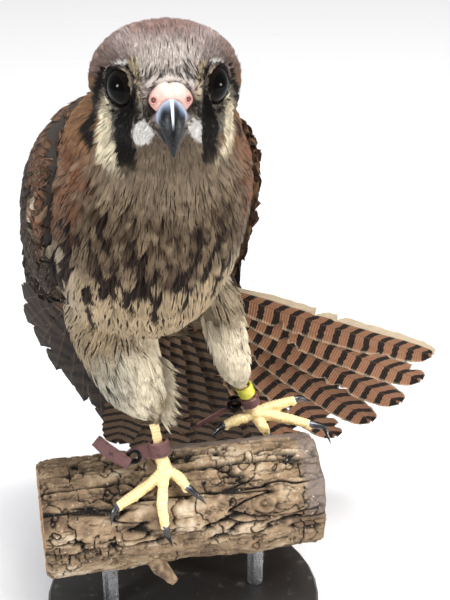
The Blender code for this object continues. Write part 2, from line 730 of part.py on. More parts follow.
def wing_lines(wing):
    """Root and tip of each flight feather, from the outermost primary inwards, and its outer face."""
    roots = [*spline(wing["hand"], PRIMARIES), *spline(wing["forearm"], SECONDARIES)]
    tips = [*spline(wing["primary_tips"], PRIMARIES), *spline(wing["secondary_tips"], SECONDARIES)]
    found = []
    for i, (root, tip) in enumerate(zip(roots, tips)):
        before, after = max(i - 1, 0), min(i + 1, len(tips) - 1)
        spread = (tips[after] - tips[before]) * 0.5 + (roots[after] - roots[before])
        found.append((root, tip, unit(np.cross(spread, tip - root)) * -wing["side"]))
    return found


def build_wing(name, wing):
    core = wing_pad(name, wing["side"])
    pieces = [tube("leading_edge", wing["leading_edge"], 9, 8, BROWN_FEATHER)]
    arm = [(*place, 4.0 - 0.4 * i) for i, place in enumerate(wing["forearm"])]
    pieces.append(tube("forearm", arm, 4, 8, BROWN_FEATHER))
    lines = wing_lines(wing)
    for i, (root, tip, outwards) in enumerate(lines):
        primary = i < PRIMARIES
        width = 11.5 if primary else 14.0
        pieces.append(vane(f"flight_{i}", root, tip, outwards, width, BROWN_FEATHER, bow=3.0,
                           lean=wing["lean"], sections=5, point=0.25 if primary else 0.4))
    for i, (root, tip, outwards) in enumerate(lines):
        if i % 3 != 1:
            continue
        length = 0.40 if i < PRIMARIES else 0.55
        start = root + outwards * 1.4
        end = root + (tip - root) * length + outwards * 3.9
        pieces.append(vane(f"covert_{i}", start, end, outwards, 18.0, BROWN_FEATHER, bow=1.0,
                           lean=wing["lean"] / 2, sections=4, point=0.45, start=0.6))
    boolean(core, pieces, "UNION")
    cutters = [trunk_form("cutter", GAP)]
    cutters.append(thigh_form("cutter", "left" if wing["side"] == 1 else "right", GAP))
    return smooth(boolean(core, cutters, "DIFFERENCE"), 30)


# The legs: feathered thighs, bare yellow shanks, and feet whose toes lie over the bark

# Each row: x, y, z, radius.
THIGHS = {
    "right": ((-24.0, 4.0, 92.0, 16.0), (-22.0, -2.0, 76.0, 15.6), (-17.0, -6.5, 62.5, 12.8),
              (-13.0, -7.2, 53.5, 10.2), (-10.5, -6.2, 46.0, 6.0), (-9.2, -5.6, 41.5, 2.8)),
    "left": ((7.0, 8.5, 92.0, 11.0), (13.8, 8.0, 74.0, 9.0), (16.8, 10.5, 60.0, 7.4),
             (19.3, 15.5, 47.0, 5.0), (20.9, 19.8, 39.5, 2.6)),
}
SHANKS = {
    "right": ((-9.1, -5.5, 40.8, 1.7), (-7.4, -7.9, 33.0, 1.6), (-6.2, -9.4, 28.2, 1.9)),
    "left": ((21.1, 20.2, 38.8, 1.7), (23.8, 21.0, 33.0, 1.6), (25.2, 21.4, 29.6, 1.9)),
}
# Each foot: its pad, then each toe's two knuckles and last joint, and its claw's bend and tip.
FEET = {
    "right": {
        "pad": (-5.1, -10.7, 23.6),
        "middle": ((-5.6, -16.2, 19.9), (-5.9, -20.1, 15.3), (-4.9, -22.7, 9.4),
                   (-4.0, -23.3, 5.2), (-2.6, -21.9, -0.4)),
        "outer": ((-10.0, -15.4, 21.0), (-15.3, -19.0, 18.6), (-20.3, -21.6, 16.5),
                  (-22.3, -23.2, 14.3), (-22.9, -24.4, 10.3)),
        "inner": ((-2.0, -11.8, 22.6), (0.1, -12.8, 21.3), (2.1, -14.6, 19.2),
                  (5.5, -16.0, 17.0), (8.9, -16.4, 13.2)),
        "hind": ((-6.9, -6.6, 24.8), (-8.2, -1.8, 24.9), (-9.0, 2.4, 24.6),
                 (-9.4, 6.4, 23.3), (-9.6, 9.8, 20.7)),
    },
    "left": {
        "pad": (26.3, 21.6, 25.9),
        "middle": ((31.1, 22.0, 24.9), (38.4, 22.4, 23.0), (45.9, 20.0, 22.3),
                   (51.4, 19.4, 21.0), (53.9, 16.7, 15.8)),
        "outer": ((31.1, 23.4, 27.4), (35.5, 24.6, 27.9), (40.3, 26.1, 28.7),
                  (43.6, 27.1, 28.9), (46.0, 27.4, 26.6)),
        "inner": ((27.6, 20.2, 23.4), (29.2, 19.6, 21.4), (30.4, 21.6, 18.4),
                  (31.0, 23.6, 15.0), (31.2, 23.8, 11.4)),
        "hind": ((22.7, 20.3, 25.0), (19.4, 19.4, 24.3), (15.8, 18.5, 23.0),
                 (12.8, 17.4, 21.2), (10.6, 16.6, 18.4)),
    },
}
TOES = ("middle", "outer", "inner", "hind")
TOE_RADIUS = 2.0
CLAW_RADIUS = 1.35


def thigh_form(name, side, grow=0.0):
    rows = [(*row[:3], row[3] + grow) for row in THIGHS[side]]
    return tube(name, rows, 10, 18, PALE_FEATHER, side_hint=(0, 1, 0.1))


def build_thigh(side):
    thigh = thigh_form(f"thigh_{side}", side)
    return smooth(boolean(thigh, [trunk_form("cutter", GAP)], "DIFFERENCE"), 50)


def build_shank(side):
    return smooth(tube(f"shank_{side}", SHANKS[side], 5, 10, LEG_SKIN, side_hint=(0, 1, 0.1)), 60)


def toe_path(foot, toe):
    """Middle line of a toe from the pad to its last joint, then the claw's root, bend and tip."""
    return [np.array(place) for place in (foot["pad"], *foot[toe])]


def build_foot(side):
    foot = FEET[side]
    pad = np.array(foot["pad"])
    shank_end = np.array(SHANKS[side][-1][:3])
    ankle = unit(shank_end - pad)
    name = f"foot_{side}"
    core = ball(name, pad, 2.8, LEG_SKIN, 10, 7)
    neck = [(*(pad - ankle * 0.5), 2.6), (*((pad + shank_end) * 0.5), 2.3),
            (*(shank_end - ankle * GAP), 1.9)]
    pieces = [tube("ankle", neck, 4, 9, LEG_SKIN)]
    for toe in TOES:
        start, first, second, last, bend, _ = toe_path(foot, toe)
        end = last + unit(bend - last) * 0.4
        rows = [(*start, TOE_RADIUS), (*first, TOE_RADIUS * 0.92), (*second, TOE_RADIUS * 0.98),
                (*end, TOE_RADIUS * 0.72)]
        pieces.append(tube(toe, rows, 6, 7, LEG_SKIN))
    boolean(core, pieces, "UNION")
    cutters = [log_form("cutter", GAP)]
    for toe in TOES:
        cutters.append(claw_form("claw_cut", foot, toe, GAP))
    return smooth(boolean(core, cutters, "DIFFERENCE"), 60)


def claw_form(name, foot, toe, grow=0.0):
    _, _, _, last, bend, tip = toe_path(foot, toe)
    start = last + unit(bend - last) * (0.2 - grow)
    rows = [(*start, CLAW_RADIUS), (*bend, CLAW_RADIUS * 0.8), (*tip, 0.25)]
    line = spline(rows, 6)
    return loft(name, tube_rings(line[:, :3], line[:, 3] + grow, 7), CLAW_HORN)


def build_claws(side):
    for toe in TOES:
        claw = claw_form(f"claw_{side}_{toe}", FEET[side], toe)
        smooth(boolean(claw, [log_form("cutter", GAP)], "DIFFERENCE"), 60)


# What the bird wears: a leather cuff on each shank, with an eyelet and a short strap, and a leg ring

def sleeve(name, low, high, inner, outer, finish, sides=16):
    """An open sleeve round the line from low to high."""
    low, high = np.asarray(low, float), np.asarray(high, float)
    along = unit(high - low)
    across = unit(np.cross(along, (0, 1, 0.1)))
    other = np.cross(along, across)
    rings = []
    for middle, radius in ((low, inner), (low, outer), (high, outer), (high, inner)):
        rings.append([middle + radius * (math.cos(a) * across + math.sin(a) * other)
                      for a in np.arange(sides) * math.tau / sides])
    points = np.array(rings).reshape(-1, 3)
    faces = []
    for i in range(4):
        n = (i + 1) % 4
        for j in range(sides):
            k = (j + 1) % sides
            faces.append((i * sides + j, i * sides + k, n * sides + k, n * sides + j))
    return solid(name, points, faces, finish)


# Each cuff: its lower and upper middle, the tab's end, and the strap's run from the eyelet.
CUFFS = {
    "right": {"low": (-6.3, -9.3, 28.3), "high": (-7.4, -7.9, 33.4), "radius": 3.7,
              "tab": (-18.6, -11.0, 28.2),
              "strap": ((-16.8, -14.0, 28.0, 1.9), (-19.5, -13.4, 29.4, 2.2), (-24.0, -11.5, 31.6, 2.3),
                        (-28.4, -9.5, 34.6, 2.2))},
    "left": {"low": (25.0, 21.3, 29.8), "high": (23.9, 21.0, 33.2), "radius": 3.3,
             "tab": (15.6, 21.4, 29.8),
             "strap": ((15.9, 18.6, 29.4, 1.0), (12.9, 19.6, 26.8, 1.1), (9.3, 20.8, 23.6, 1.1),
                       (5.4, 22.0, 20.2, 0.9))},
}
LEATHER_THICKNESS = 1.1
EYELET_RADIUS = 2.5


def build_cuff(side):
    cuff = CUFFS[side]
    low, high = np.array(cuff["low"]), np.array(cuff["high"])
    radius = cuff["radius"]
    name = f"cuff_{side}"
    band = sleeve(name, low, high, radius - LEATHER_THICKNESS, radius, LEATHER)
    middle = (low + high) / 2
    tab_end = np.array(cuff["tab"])
    reach = unit(tab_end - middle)
    rise = unit(high - low)
    face = np.cross(reach, rise)
    tall = np.linalg.norm(high - low) / 2
    rings = []
    for share in (0.0, 0.5, 0.85, 1.0):
        at = middle + reach * (radius - 0.6) + (tab_end - middle - reach * (radius - 0.6)) * share
        half = tall * (1.0 if share < 0.9 else 0.55)
        corners = ((-1, -1), (1, -1), (1, 1), (-1, 1))
        rings.append([at + face * sx * 0.75 + rise * sy * half for sx, sy in corners])
    tab = loft("tab", rings, LEATHER)
    boolean(band, [tab], "UNION")
    eye = middle + reach * (np.linalg.norm(tab_end - middle) - 3.2)
    hole = loft("hole", tube_rings([eye - face * 4, eye + face * 4], [EYELET_RADIUS - 0.4] * 2, 14), LEATHER)
    boolean(band, [hole], "DIFFERENCE")
    smooth(band, 40)
    smooth(sleeve(f"eyelet_{side}", eye - face * 1.35, eye + face * 1.35, EYELET_RADIUS - 1.5,
                  EYELET_RADIUS - 0.4 - GAP, EYELET, 14), 40)
    strap = tube(f"strap_{side}", cuff["strap"], 8, 10, LEATHER, flat=0.5, side_hint=face)
    cutters = [log_form("cutter", GAP),
               sleeve("cutter", low, high, radius - LEATHER_THICKNESS - GAP, radius + GAP, LEATHER)]
    smooth(boolean(strap, cutters, "DIFFERENCE"), 40)


def build_ring():
    low, high = np.array((23.5, 20.9, 34.3)), np.array((21.9, 20.4, 38.3))
    smooth(sleeve("leg_ring_left", low, high, 2.3, 3.1, RING_PLASTIC, 20), 40)


def main():
    clear_scene()
    build_log()
    build_stand()
    build_head_and_trunk()
    build_bill()
    build_tail()
    build_wing("wing_right", RIGHT_WING)
    build_wing("wing_left", LEFT_WING)
    for side in ("right", "left"):
        build_thigh(side)
        build_shank(side)
        build_foot(side)
        build_claws(side)
        build_cuff(side)
    build_ring()


main()
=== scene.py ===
import itertools
import math

import bpy
import numpy as np
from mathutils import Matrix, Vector
from mathutils.bvhtree import BVHTree
from mathutils.geometry import delaunay_2d_cdt


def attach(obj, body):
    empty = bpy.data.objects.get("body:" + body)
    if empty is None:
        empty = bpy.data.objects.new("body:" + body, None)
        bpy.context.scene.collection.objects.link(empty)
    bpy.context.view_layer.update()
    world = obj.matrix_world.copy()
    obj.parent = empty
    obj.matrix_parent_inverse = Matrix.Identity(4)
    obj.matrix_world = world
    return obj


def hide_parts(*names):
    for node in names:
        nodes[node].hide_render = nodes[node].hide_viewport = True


# A life-size female American kestrel on a short cut log, carried by a plain display stand.
# Points are in millimetres from a place inside the log, LIFT above the floor, and become metres
# where a mesh is made. The bird faces -Y.
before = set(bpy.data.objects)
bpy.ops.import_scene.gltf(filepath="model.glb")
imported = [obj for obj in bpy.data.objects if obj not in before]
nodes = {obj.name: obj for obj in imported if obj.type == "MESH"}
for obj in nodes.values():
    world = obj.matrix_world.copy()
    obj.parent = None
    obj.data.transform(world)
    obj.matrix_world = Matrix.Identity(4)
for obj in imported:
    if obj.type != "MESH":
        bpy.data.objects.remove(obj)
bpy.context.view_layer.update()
LIFT = 44.0
MM = 0.001
UP = np.array((0.0, 0.0, 1.0))


# The stand is a turned steel disc under satin black paint, with two ground steel rods pressed into
# it that carry the log. Both keep the part's own shapes and get their finishes here.
PAINT_BLACK = (44, 43, 42)
PAINT_DUST = (96, 92, 86)
STEEL_BRIGHT = (186, 187, 190)
STEEL_DULL = (138, 137, 136)


def linear(colour):
    """A colour read off in 0 to 255, as the linear values that shaders take."""
    share = np.asarray(colour, float) / 255
    return np.where(share <= 0.04045, share / 12.92, ((share + 0.055) / 1.055) ** 2.4)


def add_node(tree, kind, inputs=None, **settings):
    """A shader node; each input is either a value or another node's socket."""
    made = tree.nodes.new(kind)
    for key, value in settings.items():
        setattr(made, key, value)
    for key, value in (inputs or {}).items():
        if isinstance(value, bpy.types.NodeSocket):
            tree.links.new(value, made.inputs[key])
        else:
            made.inputs[key].default_value = value
    return made


def maths(tree, operation, *values):
    """The result of a Math node on up to three values or sockets."""
    return add_node(tree, "ShaderNodeMath", dict(enumerate(values)), operation=operation).outputs[0]


def ramp(tree, value, low, high, start=0.0, end=1.0):
    """A smooth step of a socket from start, at low, to end, at high."""
    made = add_node(tree, "ShaderNodeMapRange", {0: value, 1: low, 2: high, 3: start, 4: end})
    made.interpolation_type = "SMOOTHSTEP"
    return made.outputs[0]


def mixed(tree, share, first, second, mode="MIX"):
    """Two colours blended by a share that may vary over the surface."""
    sockets = {0: share, 6: first, 7: second}
    return add_node(tree, "ShaderNodeMix", sockets, data_type="RGBA", blend_type=mode).outputs[2]


def rgba(colour):
    return (*linear(colour), 1.0)


def new_group(name, inputs, outputs):
    """A shader node group with its input and output nodes. An input without a value is a colour."""
    tree = bpy.data.node_groups.new(name, "ShaderNodeTree")
    for label, value in inputs.items():
        kind = "NodeSocketColor" if value is None else "NodeSocketFloat"
        socket = tree.interface.new_socket(label, in_out="INPUT", socket_type=kind)
        if value is not None:
            socket.default_value = value
    for label, kind in outputs.items():
        tree.interface.new_socket(label, in_out="OUTPUT", socket_type=f"NodeSocket{kind}")
    return tree, tree.nodes.new("NodeGroupInput"), tree.nodes.new("NodeGroupOutput")


def new_finish(name, roughness, metallic=0.0, coat=0.0, sheen=0.0, under_skin=0.0, specular=0.5):
    """A material with its Principled shader, whose even values are set on its own sockets."""
    made = bpy.data.materials.new(name)
    made.use_nodes = True
    shader = made.node_tree.nodes["Principled BSDF"]
    for key, value in (("Roughness", roughness), ("Metallic", metallic), ("Specular IOR Level", specular),
                       ("Coat Weight", coat), ("Coat Roughness", 0.05), ("Sheen Weight", sheen),
                       ("Subsurface Weight", under_skin), ("Subsurface Scale", 0.002)):
        shader.inputs[key].default_value = value
    return made, made.node_tree, shader


def feed(tree, shader, colour, roughness=None, height=None, depth=0.0):
    """Joins colour, roughness and height sockets to a material's shader. depth is in metres."""
    tree.links.new(colour, shader.inputs["Base Color"])
    if roughness is not None:
        tree.links.new(roughness, shader.inputs["Roughness"])
    if height is not None:
        bump = add_node(tree, "ShaderNodeBump", {"Height": height, "Distance": depth, "Strength": 1.0})
        tree.links.new(bump.outputs[0], shader.inputs["Normal"])


# Speckle: one colour mottled with another in soft patches, with a finer grain over both.
speckle, entry, leaving = new_group(
    "speckle", {"Colour": None, "Patch Colour": None, "Size": 400.0, "Share": 0.5},
    {"Colour": "Color", "Mask": "Float", "Grain": "Float"})
where = add_node(speckle, "ShaderNodeTexCoord").outputs["Object"]
patches = add_node(speckle, "ShaderNodeTexNoise", {
    "Vector": where, "Scale": entry.outputs["Size"], "Detail": 5.0, "Roughness": 0.6})
fine = add_node(speckle, "ShaderNodeTexNoise", {
    "Vector": where, "Scale": maths(speckle, "MULTIPLY", entry.outputs["Size"], 7.0), "Detail": 3.0})
low_edge = maths(speckle, "SUBTRACT", 0.62, maths(speckle, "MULTIPLY", entry.outputs["Share"], 0.3))
patch_mask = ramp(speckle, patches.outputs[0], low_edge, maths(speckle, "ADD", low_edge, 0.18))
patched = mixed(speckle, patch_mask, entry.outputs["Colour"], entry.outputs["Patch Colour"])
grain_share = maths(speckle, "MULTIPLY", fine.outputs[0], 0.35)
grained = mixed(speckle, grain_share, patched, (0.35, 0.35, 0.35, 1), "SOFT_LIGHT")
speckle.links.new(grained, leaving.inputs["Colour"])
speckle.links.new(patch_mask, leaving.inputs["Mask"])
speckle.links.new(fine.outputs[0], leaving.inputs["Grain"])


def add_speckle(tree, colour, patch_colour, size, share):
    """The speckle group in a material. A colour of None is read from the mesh's own shade."""
    if colour is None:
        colour = read_colours(tree, "shade")["Color"]
    elif not isinstance(colour, bpy.types.NodeSocket):
        colour = rgba(colour)
    sockets = {"Colour": colour, "Patch Colour": rgba(patch_colour), "Size": size, "Share": share}
    return add_node(tree, "ShaderNodeGroup", sockets, node_tree=speckle).outputs


def read_colours(tree, name):
    return add_node(tree, "ShaderNodeAttribute", attribute_name=name).outputs


def mottled_finish(name, roughness, colour, patch_colour, size, share, depth, gloss=None, **even):
    """A material of two mottled colours with a grain depth metres deep; gloss is its roughness range."""
    made, tree, shader = new_finish(name, roughness, **even)
    spots = add_speckle(tree, colour, patch_colour, size, share)
    rough = ramp(tree, spots["Mask"], 0.0, 1.0, *gloss) if gloss else None
    feed(tree, shader, spots["Colour"], rough, spots["Grain"] if depth else None, depth)
    return made


def dress(node, finish):
    """Gives a kept part its finish."""
    for slot in nodes[node].material_slots:
        slot.material = finish


dress("stand_base", mottled_finish("stand_satin_paint", 0.42, PAINT_BLACK, PAINT_DUST, 160.0, 0.15, 0.00006,
                                   (0.38, 0.62)))

steel, tree, shader = new_finish("ground_steel", 0.3, metallic=1.0)
spots = add_speckle(tree, STEEL_BRIGHT, STEEL_DULL, 220.0, 0.4)
grinding = add_node(tree, "ShaderNodeTexWave", {"Scale": 900.0, "Distortion": 1.5, "Detail": 2.0},
                    bands_direction="Z").outputs[1]
feed(tree, shader, spots["Colour"], ramp(tree, spots["Mask"], 0.0, 1.0, 0.26, 0.44), grinding, 0.00002)
for number in (1, 2):
    dress(f"stand_rod_{number}", steel)


# The log is a short length of dead branch with its bark on: long cracked plates, a smooth grey
# stretch where the bark has worn away along the top and at one end, a knot and a broken twig.
SHARP_ANGLE = 70.0
LOG_MIDDLE = np.array((-0.7, 0.0, 1.9))
LOG_LENGTH = 98.0
LOG_RADIUS = 20.4
LOG_YAW = math.radians(12.0)
LOG_AXIS = np.array((math.cos(LOG_YAW), math.sin(LOG_YAW), 0.0))
LOG_BACK = np.array((-math.sin(LOG_YAW), math.cos(LOG_YAW), 0.0))
BARK_TURNS, BARK_STATIONS = 384, 260
# The knot's turn, place along the log and size; the twig's turn, place, height off the bark and radius.
KNOT = (math.radians(-66), 27.0, 4.6)
TWIG = ((-128.0, -12.0, -4.0, 4.4), (-130.0, -10.0, 1.5, 2.9), (-133.0, -5.5, 7.0, 1.5))
BARK_PALE = (232, 216, 190)
BARK_TAN = (168, 143, 112)
BARK_BROWN = (98, 77, 58)
BARK_CRACK = (26, 19, 14)
BARK_GREY = (128, 116, 110)
WOOD_PALE = (176, 142, 100)
WOOD_DARK = (118, 84, 54)


def unit(v):
    """Vectors made one long."""
    v = np.asarray(v, float)
    return v / np.maximum(np.linalg.norm(v, axis=-1, keepdims=True), 1e-9)


def smooth_step(x, low, high):
    """0 below low, 1 above high and a soft rise between them."""
    t = np.clip((x - low) / (high - low), 0, 1)
    return t * t * (3 - 2 * t)


def spline(rows, count):
    """Points evenly spaced in parameter on a smooth curve through the rows."""
    rows = np.asarray(rows, float)
    ends = np.vstack((2 * rows[0] - rows[1], rows, 2 * rows[-1] - rows[-2]))
    place = np.linspace(0, len(rows) - 1, count)
    i = np.minimum(place.astype(int), len(rows) - 2)
    t = (place - i)[:, None]
    a, b, c, d = ends[i], ends[i + 1], ends[i + 2], ends[i + 3]
    return 0.5 * (2 * b + (c - a) * t + (2 * a - 5 * b + 4 * c - d) * t**2 + (3 * b - a - 3 * c + d) * t**3)


def scatter_value(cells, seed):
    """A fixed random value from 0 to 1 for each whole-numbered cell."""
    mixed_up = seed * 97
    for axis, prime in enumerate((73856093, 19349663, 83492791)[: cells.shape[-1]]):
        mixed_up = mixed_up ^ (cells[..., axis] * prime)
    mixed_up = (mixed_up ^ (mixed_up >> 13)) * 1274126177 & 0x7FFFFFFF
    return ((mixed_up ^ (mixed_up >> 11)) & 0xFFFF) / 65535.0


def soft_noise(points, size, seed=0):
    """Smooth random values from -1 to 1 over space, in waves about size across."""
    scaled = np.asarray(points) / size
    cell = np.floor(scaled).astype(np.int64)
    t = scaled - cell
    t = t * t * (3 - 2 * t)
    total = 0.0
    for corner in itertools.product((0, 1), repeat=scaled.shape[-1]):
        weight = np.prod(np.where(np.array(corner) == 1, t, 1 - t), axis=-1)
        total = total + weight * scatter_value(cell + np.array(corner), seed)
    return 2 * total - 1


def log_noise(turn, along, across_size, along_size, seed):
    """Smooth noise on the bark, in patches of one size across the log and another along it."""
    spoke = LOG_RADIUS / across_size
    place = np.stack((np.sin(turn) * spoke, np.cos(turn) * spoke, along / along_size), -1)
    return soft_noise(place, 1.0, seed)


def fissures(turn, along, across_size, along_size, seed, width):
    """1 in the bottom of cracks that run between plates of about these sizes, 0 on the plates."""
    field = log_noise(turn, along, across_size, along_size, seed)
    field = field + 0.35 * log_noise(turn, along, across_size / 2.6, along_size / 3.2, seed + 1)
    field = field + 0.14 * log_noise(turn, along, across_size / 6.0, along_size / 7.0, seed + 2)
    return 1 - smooth_step(np.abs(field), 0.0, width)


def log_point(turn, along, grow=0.0):
    """A point on the bark. turn is the angle back from straight up, along runs from the middle."""
    uneven = 0.35 * np.sin(2 * turn + 0.6) + 0.3 * np.sin(3 * turn + along / 19.0)
    radius = (LOG_RADIUS + uneven + grow)[..., None]
    spoke = np.sin(turn)[..., None] * LOG_BACK + np.cos(turn)[..., None] * UP
    return LOG_MIDDLE + LOG_AXIS * along[..., None] + radius * spoke


def metres(points):
    return (np.asarray(points, float) + (0, 0, LIFT)) * MM


def add_mesh(name, points, faces, finishes, smooth=True, which=None):
    """An object from points in millimetres and faces of any number of corners."""
    mesh = bpy.data.meshes.new(name)
    sizes = [len(face) for face in faces]
    corners = np.concatenate([np.asarray(face) for face in faces])
    mesh.vertices.add(len(points))
    mesh.vertices.foreach_set("co", metres(points).astype(np.float32).ravel())
    mesh.loops.add(len(corners))
    mesh.loops.foreach_set("vertex_index", corners.astype(np.int32))
    mesh.polygons.add(len(sizes))
    mesh.polygons.foreach_set("loop_start", np.concatenate(([0], np.cumsum(sizes)[:-1])).astype(np.int32))
    mesh.update(calc_edges=True)
    for finish in finishes if isinstance(finishes, (list, tuple)) else [finishes]:
        mesh.materials.append(finish)
    if which is not None:
        mesh.polygons.foreach_set("material_index", np.asarray(which, np.int32))
    if smooth:
        mesh.shade_smooth()
        mesh.set_sharp_from_angle(angle=math.radians(SHARP_ANGLE))
    made = bpy.data.objects.new(name, mesh)
    bpy.context.scene.collection.objects.link(made)
    return made


def add_colours(obj, name, colours):
    """Stores a colour for each point of a mesh, for its finish to read."""
    colours = np.asarray(colours, float)
    if colours.shape[1] == 3:
        colours = np.hstack((colours, np.ones((len(colours), 1))))
    layer = obj.data.attributes.new(name, "FLOAT_COLOR", "POINT")
    layer.data.foreach_set("color", colours.astype(np.float32).ravel())


def place_piece(obj, slot, *replaced):
    """Hangs a piece on the root body and hides the kept parts it replaces. slot is not used."""
    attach(obj, "root")
    if replaced:
        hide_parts(*replaced)
    return obj


def circle(count):
    """Evenly spaced turns all the way round."""
    return np.arange(count) * math.tau / count


def tube_rings(path, radii, sides, flat=1.0, hint=(0, 0, 1)):
    """Rings of points round a path, flatter along hint by flat."""
    path = np.asarray(path, float)
    along = unit(np.gradient(path, axis=0))
    across = unit(np.cross(along, hint))
    lift = np.cross(across, along)
    turns = circle(sides)[None, :, None]
    rim = np.cos(turns) * across[:, None] + flat * np.sin(turns) * lift[:, None]
    return path[:, None] + np.asarray(radii)[:, None, None] * rim


def skin_over(rings):
    """Points and faces of a closed form over a stack of rings."""
    count, sides = rings.shape[:2]
    i, j = np.meshgrid(np.arange(count - 1), np.arange(sides), indexing="ij")
    k = (j + 1) % sides
    quads = np.stack((i * sides + j, i * sides + k, (i + 1) * sides + k, (i + 1) * sides + j), -1)
    faces = [tuple(q) for q in quads.reshape(-1, 4)]
    faces += [tuple(range(sides))[::-1], tuple(range((count - 1) * sides, count * sides))]
    return rings.reshape(-1, 3), faces


def joined(shells):
    """Several forms as one list of points and one of faces."""
    points, faces, start = [], [], 0
    for some_points, some_faces in shells:
        points.append(some_points)
        faces += [tuple(np.asarray(f) + start) for f in some_faces]
        start += len(some_points)
    return np.vstack(points), faces


half = LOG_LENGTH / 2
turn_grid, along_grid = np.meshgrid(circle(BARK_TURNS), np.linspace(-half, half, BARK_STATIONS))
space = log_point(turn_grid, along_grid)
knot_turn, knot_along, knot_size = KNOT
from_knot = np.hypot((np.angle(np.exp(1j * (turn_grid - knot_turn)))) * LOG_RADIUS, along_grid - knot_along)
knotted = 1 - smooth_step(from_knot, 0.5 * knot_size, 2.2 * knot_size)
swirl = along_grid + 5.0 * knotted * np.sin(turn_grid * 9)
plate_tone = 0.55 * log_noise(turn_grid, swirl, 6.0, 20.0, 5)
plate_tone += 0.35 * log_noise(turn_grid, swirl, 2.5, 7.0, 6)
long_crack = fissures(turn_grid, swirl, 6.0, 34.0, 11, 0.13)
cross_crack = fissures(turn_grid, swirl, 9.0, 8.5, 21, 0.055)
fine_crack = fissures(turn_grid, swirl, 3.0, 10.0, 31, 0.11)
crack = np.maximum(long_crack, np.maximum(0.85 * cross_crack, 0.5 * fine_crack))
layers = log_noise(turn_grid, swirl, 5.0, 11.0, 41) + 0.5 * log_noise(turn_grid, swirl, 2.0, 4.0, 42)
bark_height = -2.3 * long_crack - 1.3 * cross_crack - 0.55 * fine_crack
bark_height += 0.30 * np.round(layers * 3) - 0.6 + 0.5 * plate_tone
bark_height += 0.16 * soft_noise(space, 1.3, 3) + 0.12 * soft_noise(space, 0.6, 4)
worn_top = smooth_step(np.cos(turn_grid - math.radians(26)), 0.945, 0.985) * smooth_step(along_grid, -16, 0)
worn_end = smooth_step(along_grid, 40, 44) * smooth_step(np.cos(turn_grid + math.radians(18)), 0.25, 0.6)
bark_wear_and_leather_groove_shade = np.maximum(worn_top, worn_end) + 0.25 * soft_noise(space, 4.0, 9) * (worn_top + worn_end)
bark_wear_and_leather_groove_shade = np.clip(bark_wear_and_leather_groove_shade, 0, 1)
bark_height = bark_height * (1 - 0.8 * bark_wear_and_leather_groove_shade) - 0.5 * bark_wear_and_leather_groove_shade
bark_height += 0.9 * knotted * np.cos(from_knot * 2.1) - 1.4 * np.exp(-((from_knot / 1.5) ** 2))
bark_height = np.clip(bark_height, -3.6, 0.25) * smooth_step(half - np.abs(along_grid), -2.5, 2.0)
rim_drop = 1.1 * (1 - smooth_step(half - np.abs(along_grid), 0.0, 1.6))
points = log_point(turn_grid, along_grid, bark_height - rim_drop)
points += LOG_AXIS * (0.5 * soft_noise(space, 5.0, 8) * (np.abs(along_grid) > half - 0.3))[..., None]
flake_step = np.abs((layers * 3 + 0.5) % 1.0 - 0.5) * 2
tone = 0.40 + 0.42 * plate_tone + 0.22 * np.round(layers * 3) / 3 + 0.22 * soft_noise(space, 2.0, 33)
# The steps between bark layers are darkened: painted shade along each ledge.
tone = np.clip(tone - 0.20 * (1 - smooth_step(flake_step, 0.0, 0.25)), 0, 1)[..., None]
pale, tan, brown = linear(BARK_PALE), linear(BARK_TAN), linear(BARK_BROWN)
bark_colours = np.where(tone > 0.5, tan + (pale - tan) * (2 * tone - 1), brown + (tan - brown) * 2 * tone)
bark_colours += (linear(BARK_GREY) - bark_colours) * (0.85 * bark_wear_and_leather_groove_shade[..., None])
# The cracks turn near black: partly the darker bark deep in them, partly painted shade.
cracked = np.clip(1.25 * crack * (1 - 0.6 * bark_wear_and_leather_groove_shade), 0, 1)[..., None]
bark_colours += (linear(BARK_CRACK) - bark_colours) * cracked
end_rings = np.linspace(0.93, 0.0, 15)
i, j = np.meshgrid(np.arange(BARK_STATIONS - 1), np.arange(BARK_TURNS), indexing="ij")
k = (j + 1) % BARK_TURNS
below, above = i * BARK_TURNS, (i + 1) * BARK_TURNS
quads = np.stack((below + j, above + j, above + k, below + k), -1)
log_points, log_faces = [points.reshape(-1, 3)], [quads.reshape(-1, 4)]
log_shades, face_kinds = [bark_colours.reshape(-1, 3)], [np.zeros(quads[..., 0].size)]
start = BARK_TURNS * BARK_STATIONS
for end, first in ((-1, 0), (1, (BARK_STATIONS - 1) * BARK_TURNS)):
    centre = LOG_MIDDLE + LOG_AXIS * half * end
    rim = points[0 if end == -1 else -1]
    previous = first + np.arange(BARK_TURNS)
    for share in end_rings:
        ring = centre + (rim - centre) * max(share, 0.004)
        dip = 0.35 * soft_noise(ring, 1.2, 17) - 0.5 * (share < 0.9)
        log_points.append(ring + LOG_AXIS * (end * dip)[:, None])
        shade = 0.5 + 0.5 * math.sin(share * 70)
        ring_colour = linear(WOOD_DARK) * (1 - shade) + linear(WOOD_PALE) * shade
        log_shades.append(np.tile(ring_colour, (BARK_TURNS, 1)))
        current = start + np.arange(BARK_TURNS)
        strip = np.stack((previous, current, np.roll(current, -1), np.roll(previous, -1)), -1)
        log_faces.append(strip if end == 1 else strip[:, ::-1])
        face_kinds.append(np.ones(BARK_TURNS))
        previous, start = current, start + BARK_TURNS
twig_path = spline([(*log_point(*np.array(((math.radians(turn),), (along,), (grow,))))[0], radius)
                    for turn, along, grow, radius in TWIG], 26)
twig_rings = tube_rings(twig_path[:, :3], twig_path[:, 3], 30)
twig_points, twig_faces = skin_over(twig_rings)
twig_out = unit(twig_points - np.repeat(twig_path[:, :3], 30, axis=0))
ridges = 0.35 * soft_noise(twig_points * (1.0, 1.0, 0.4), 1.1, 2)
twig_points = twig_points + twig_out * ridges[:, None]
twig_shade = brown + (tan - brown) * smooth_step(ridges, -0.2, 0.3)[:, None]

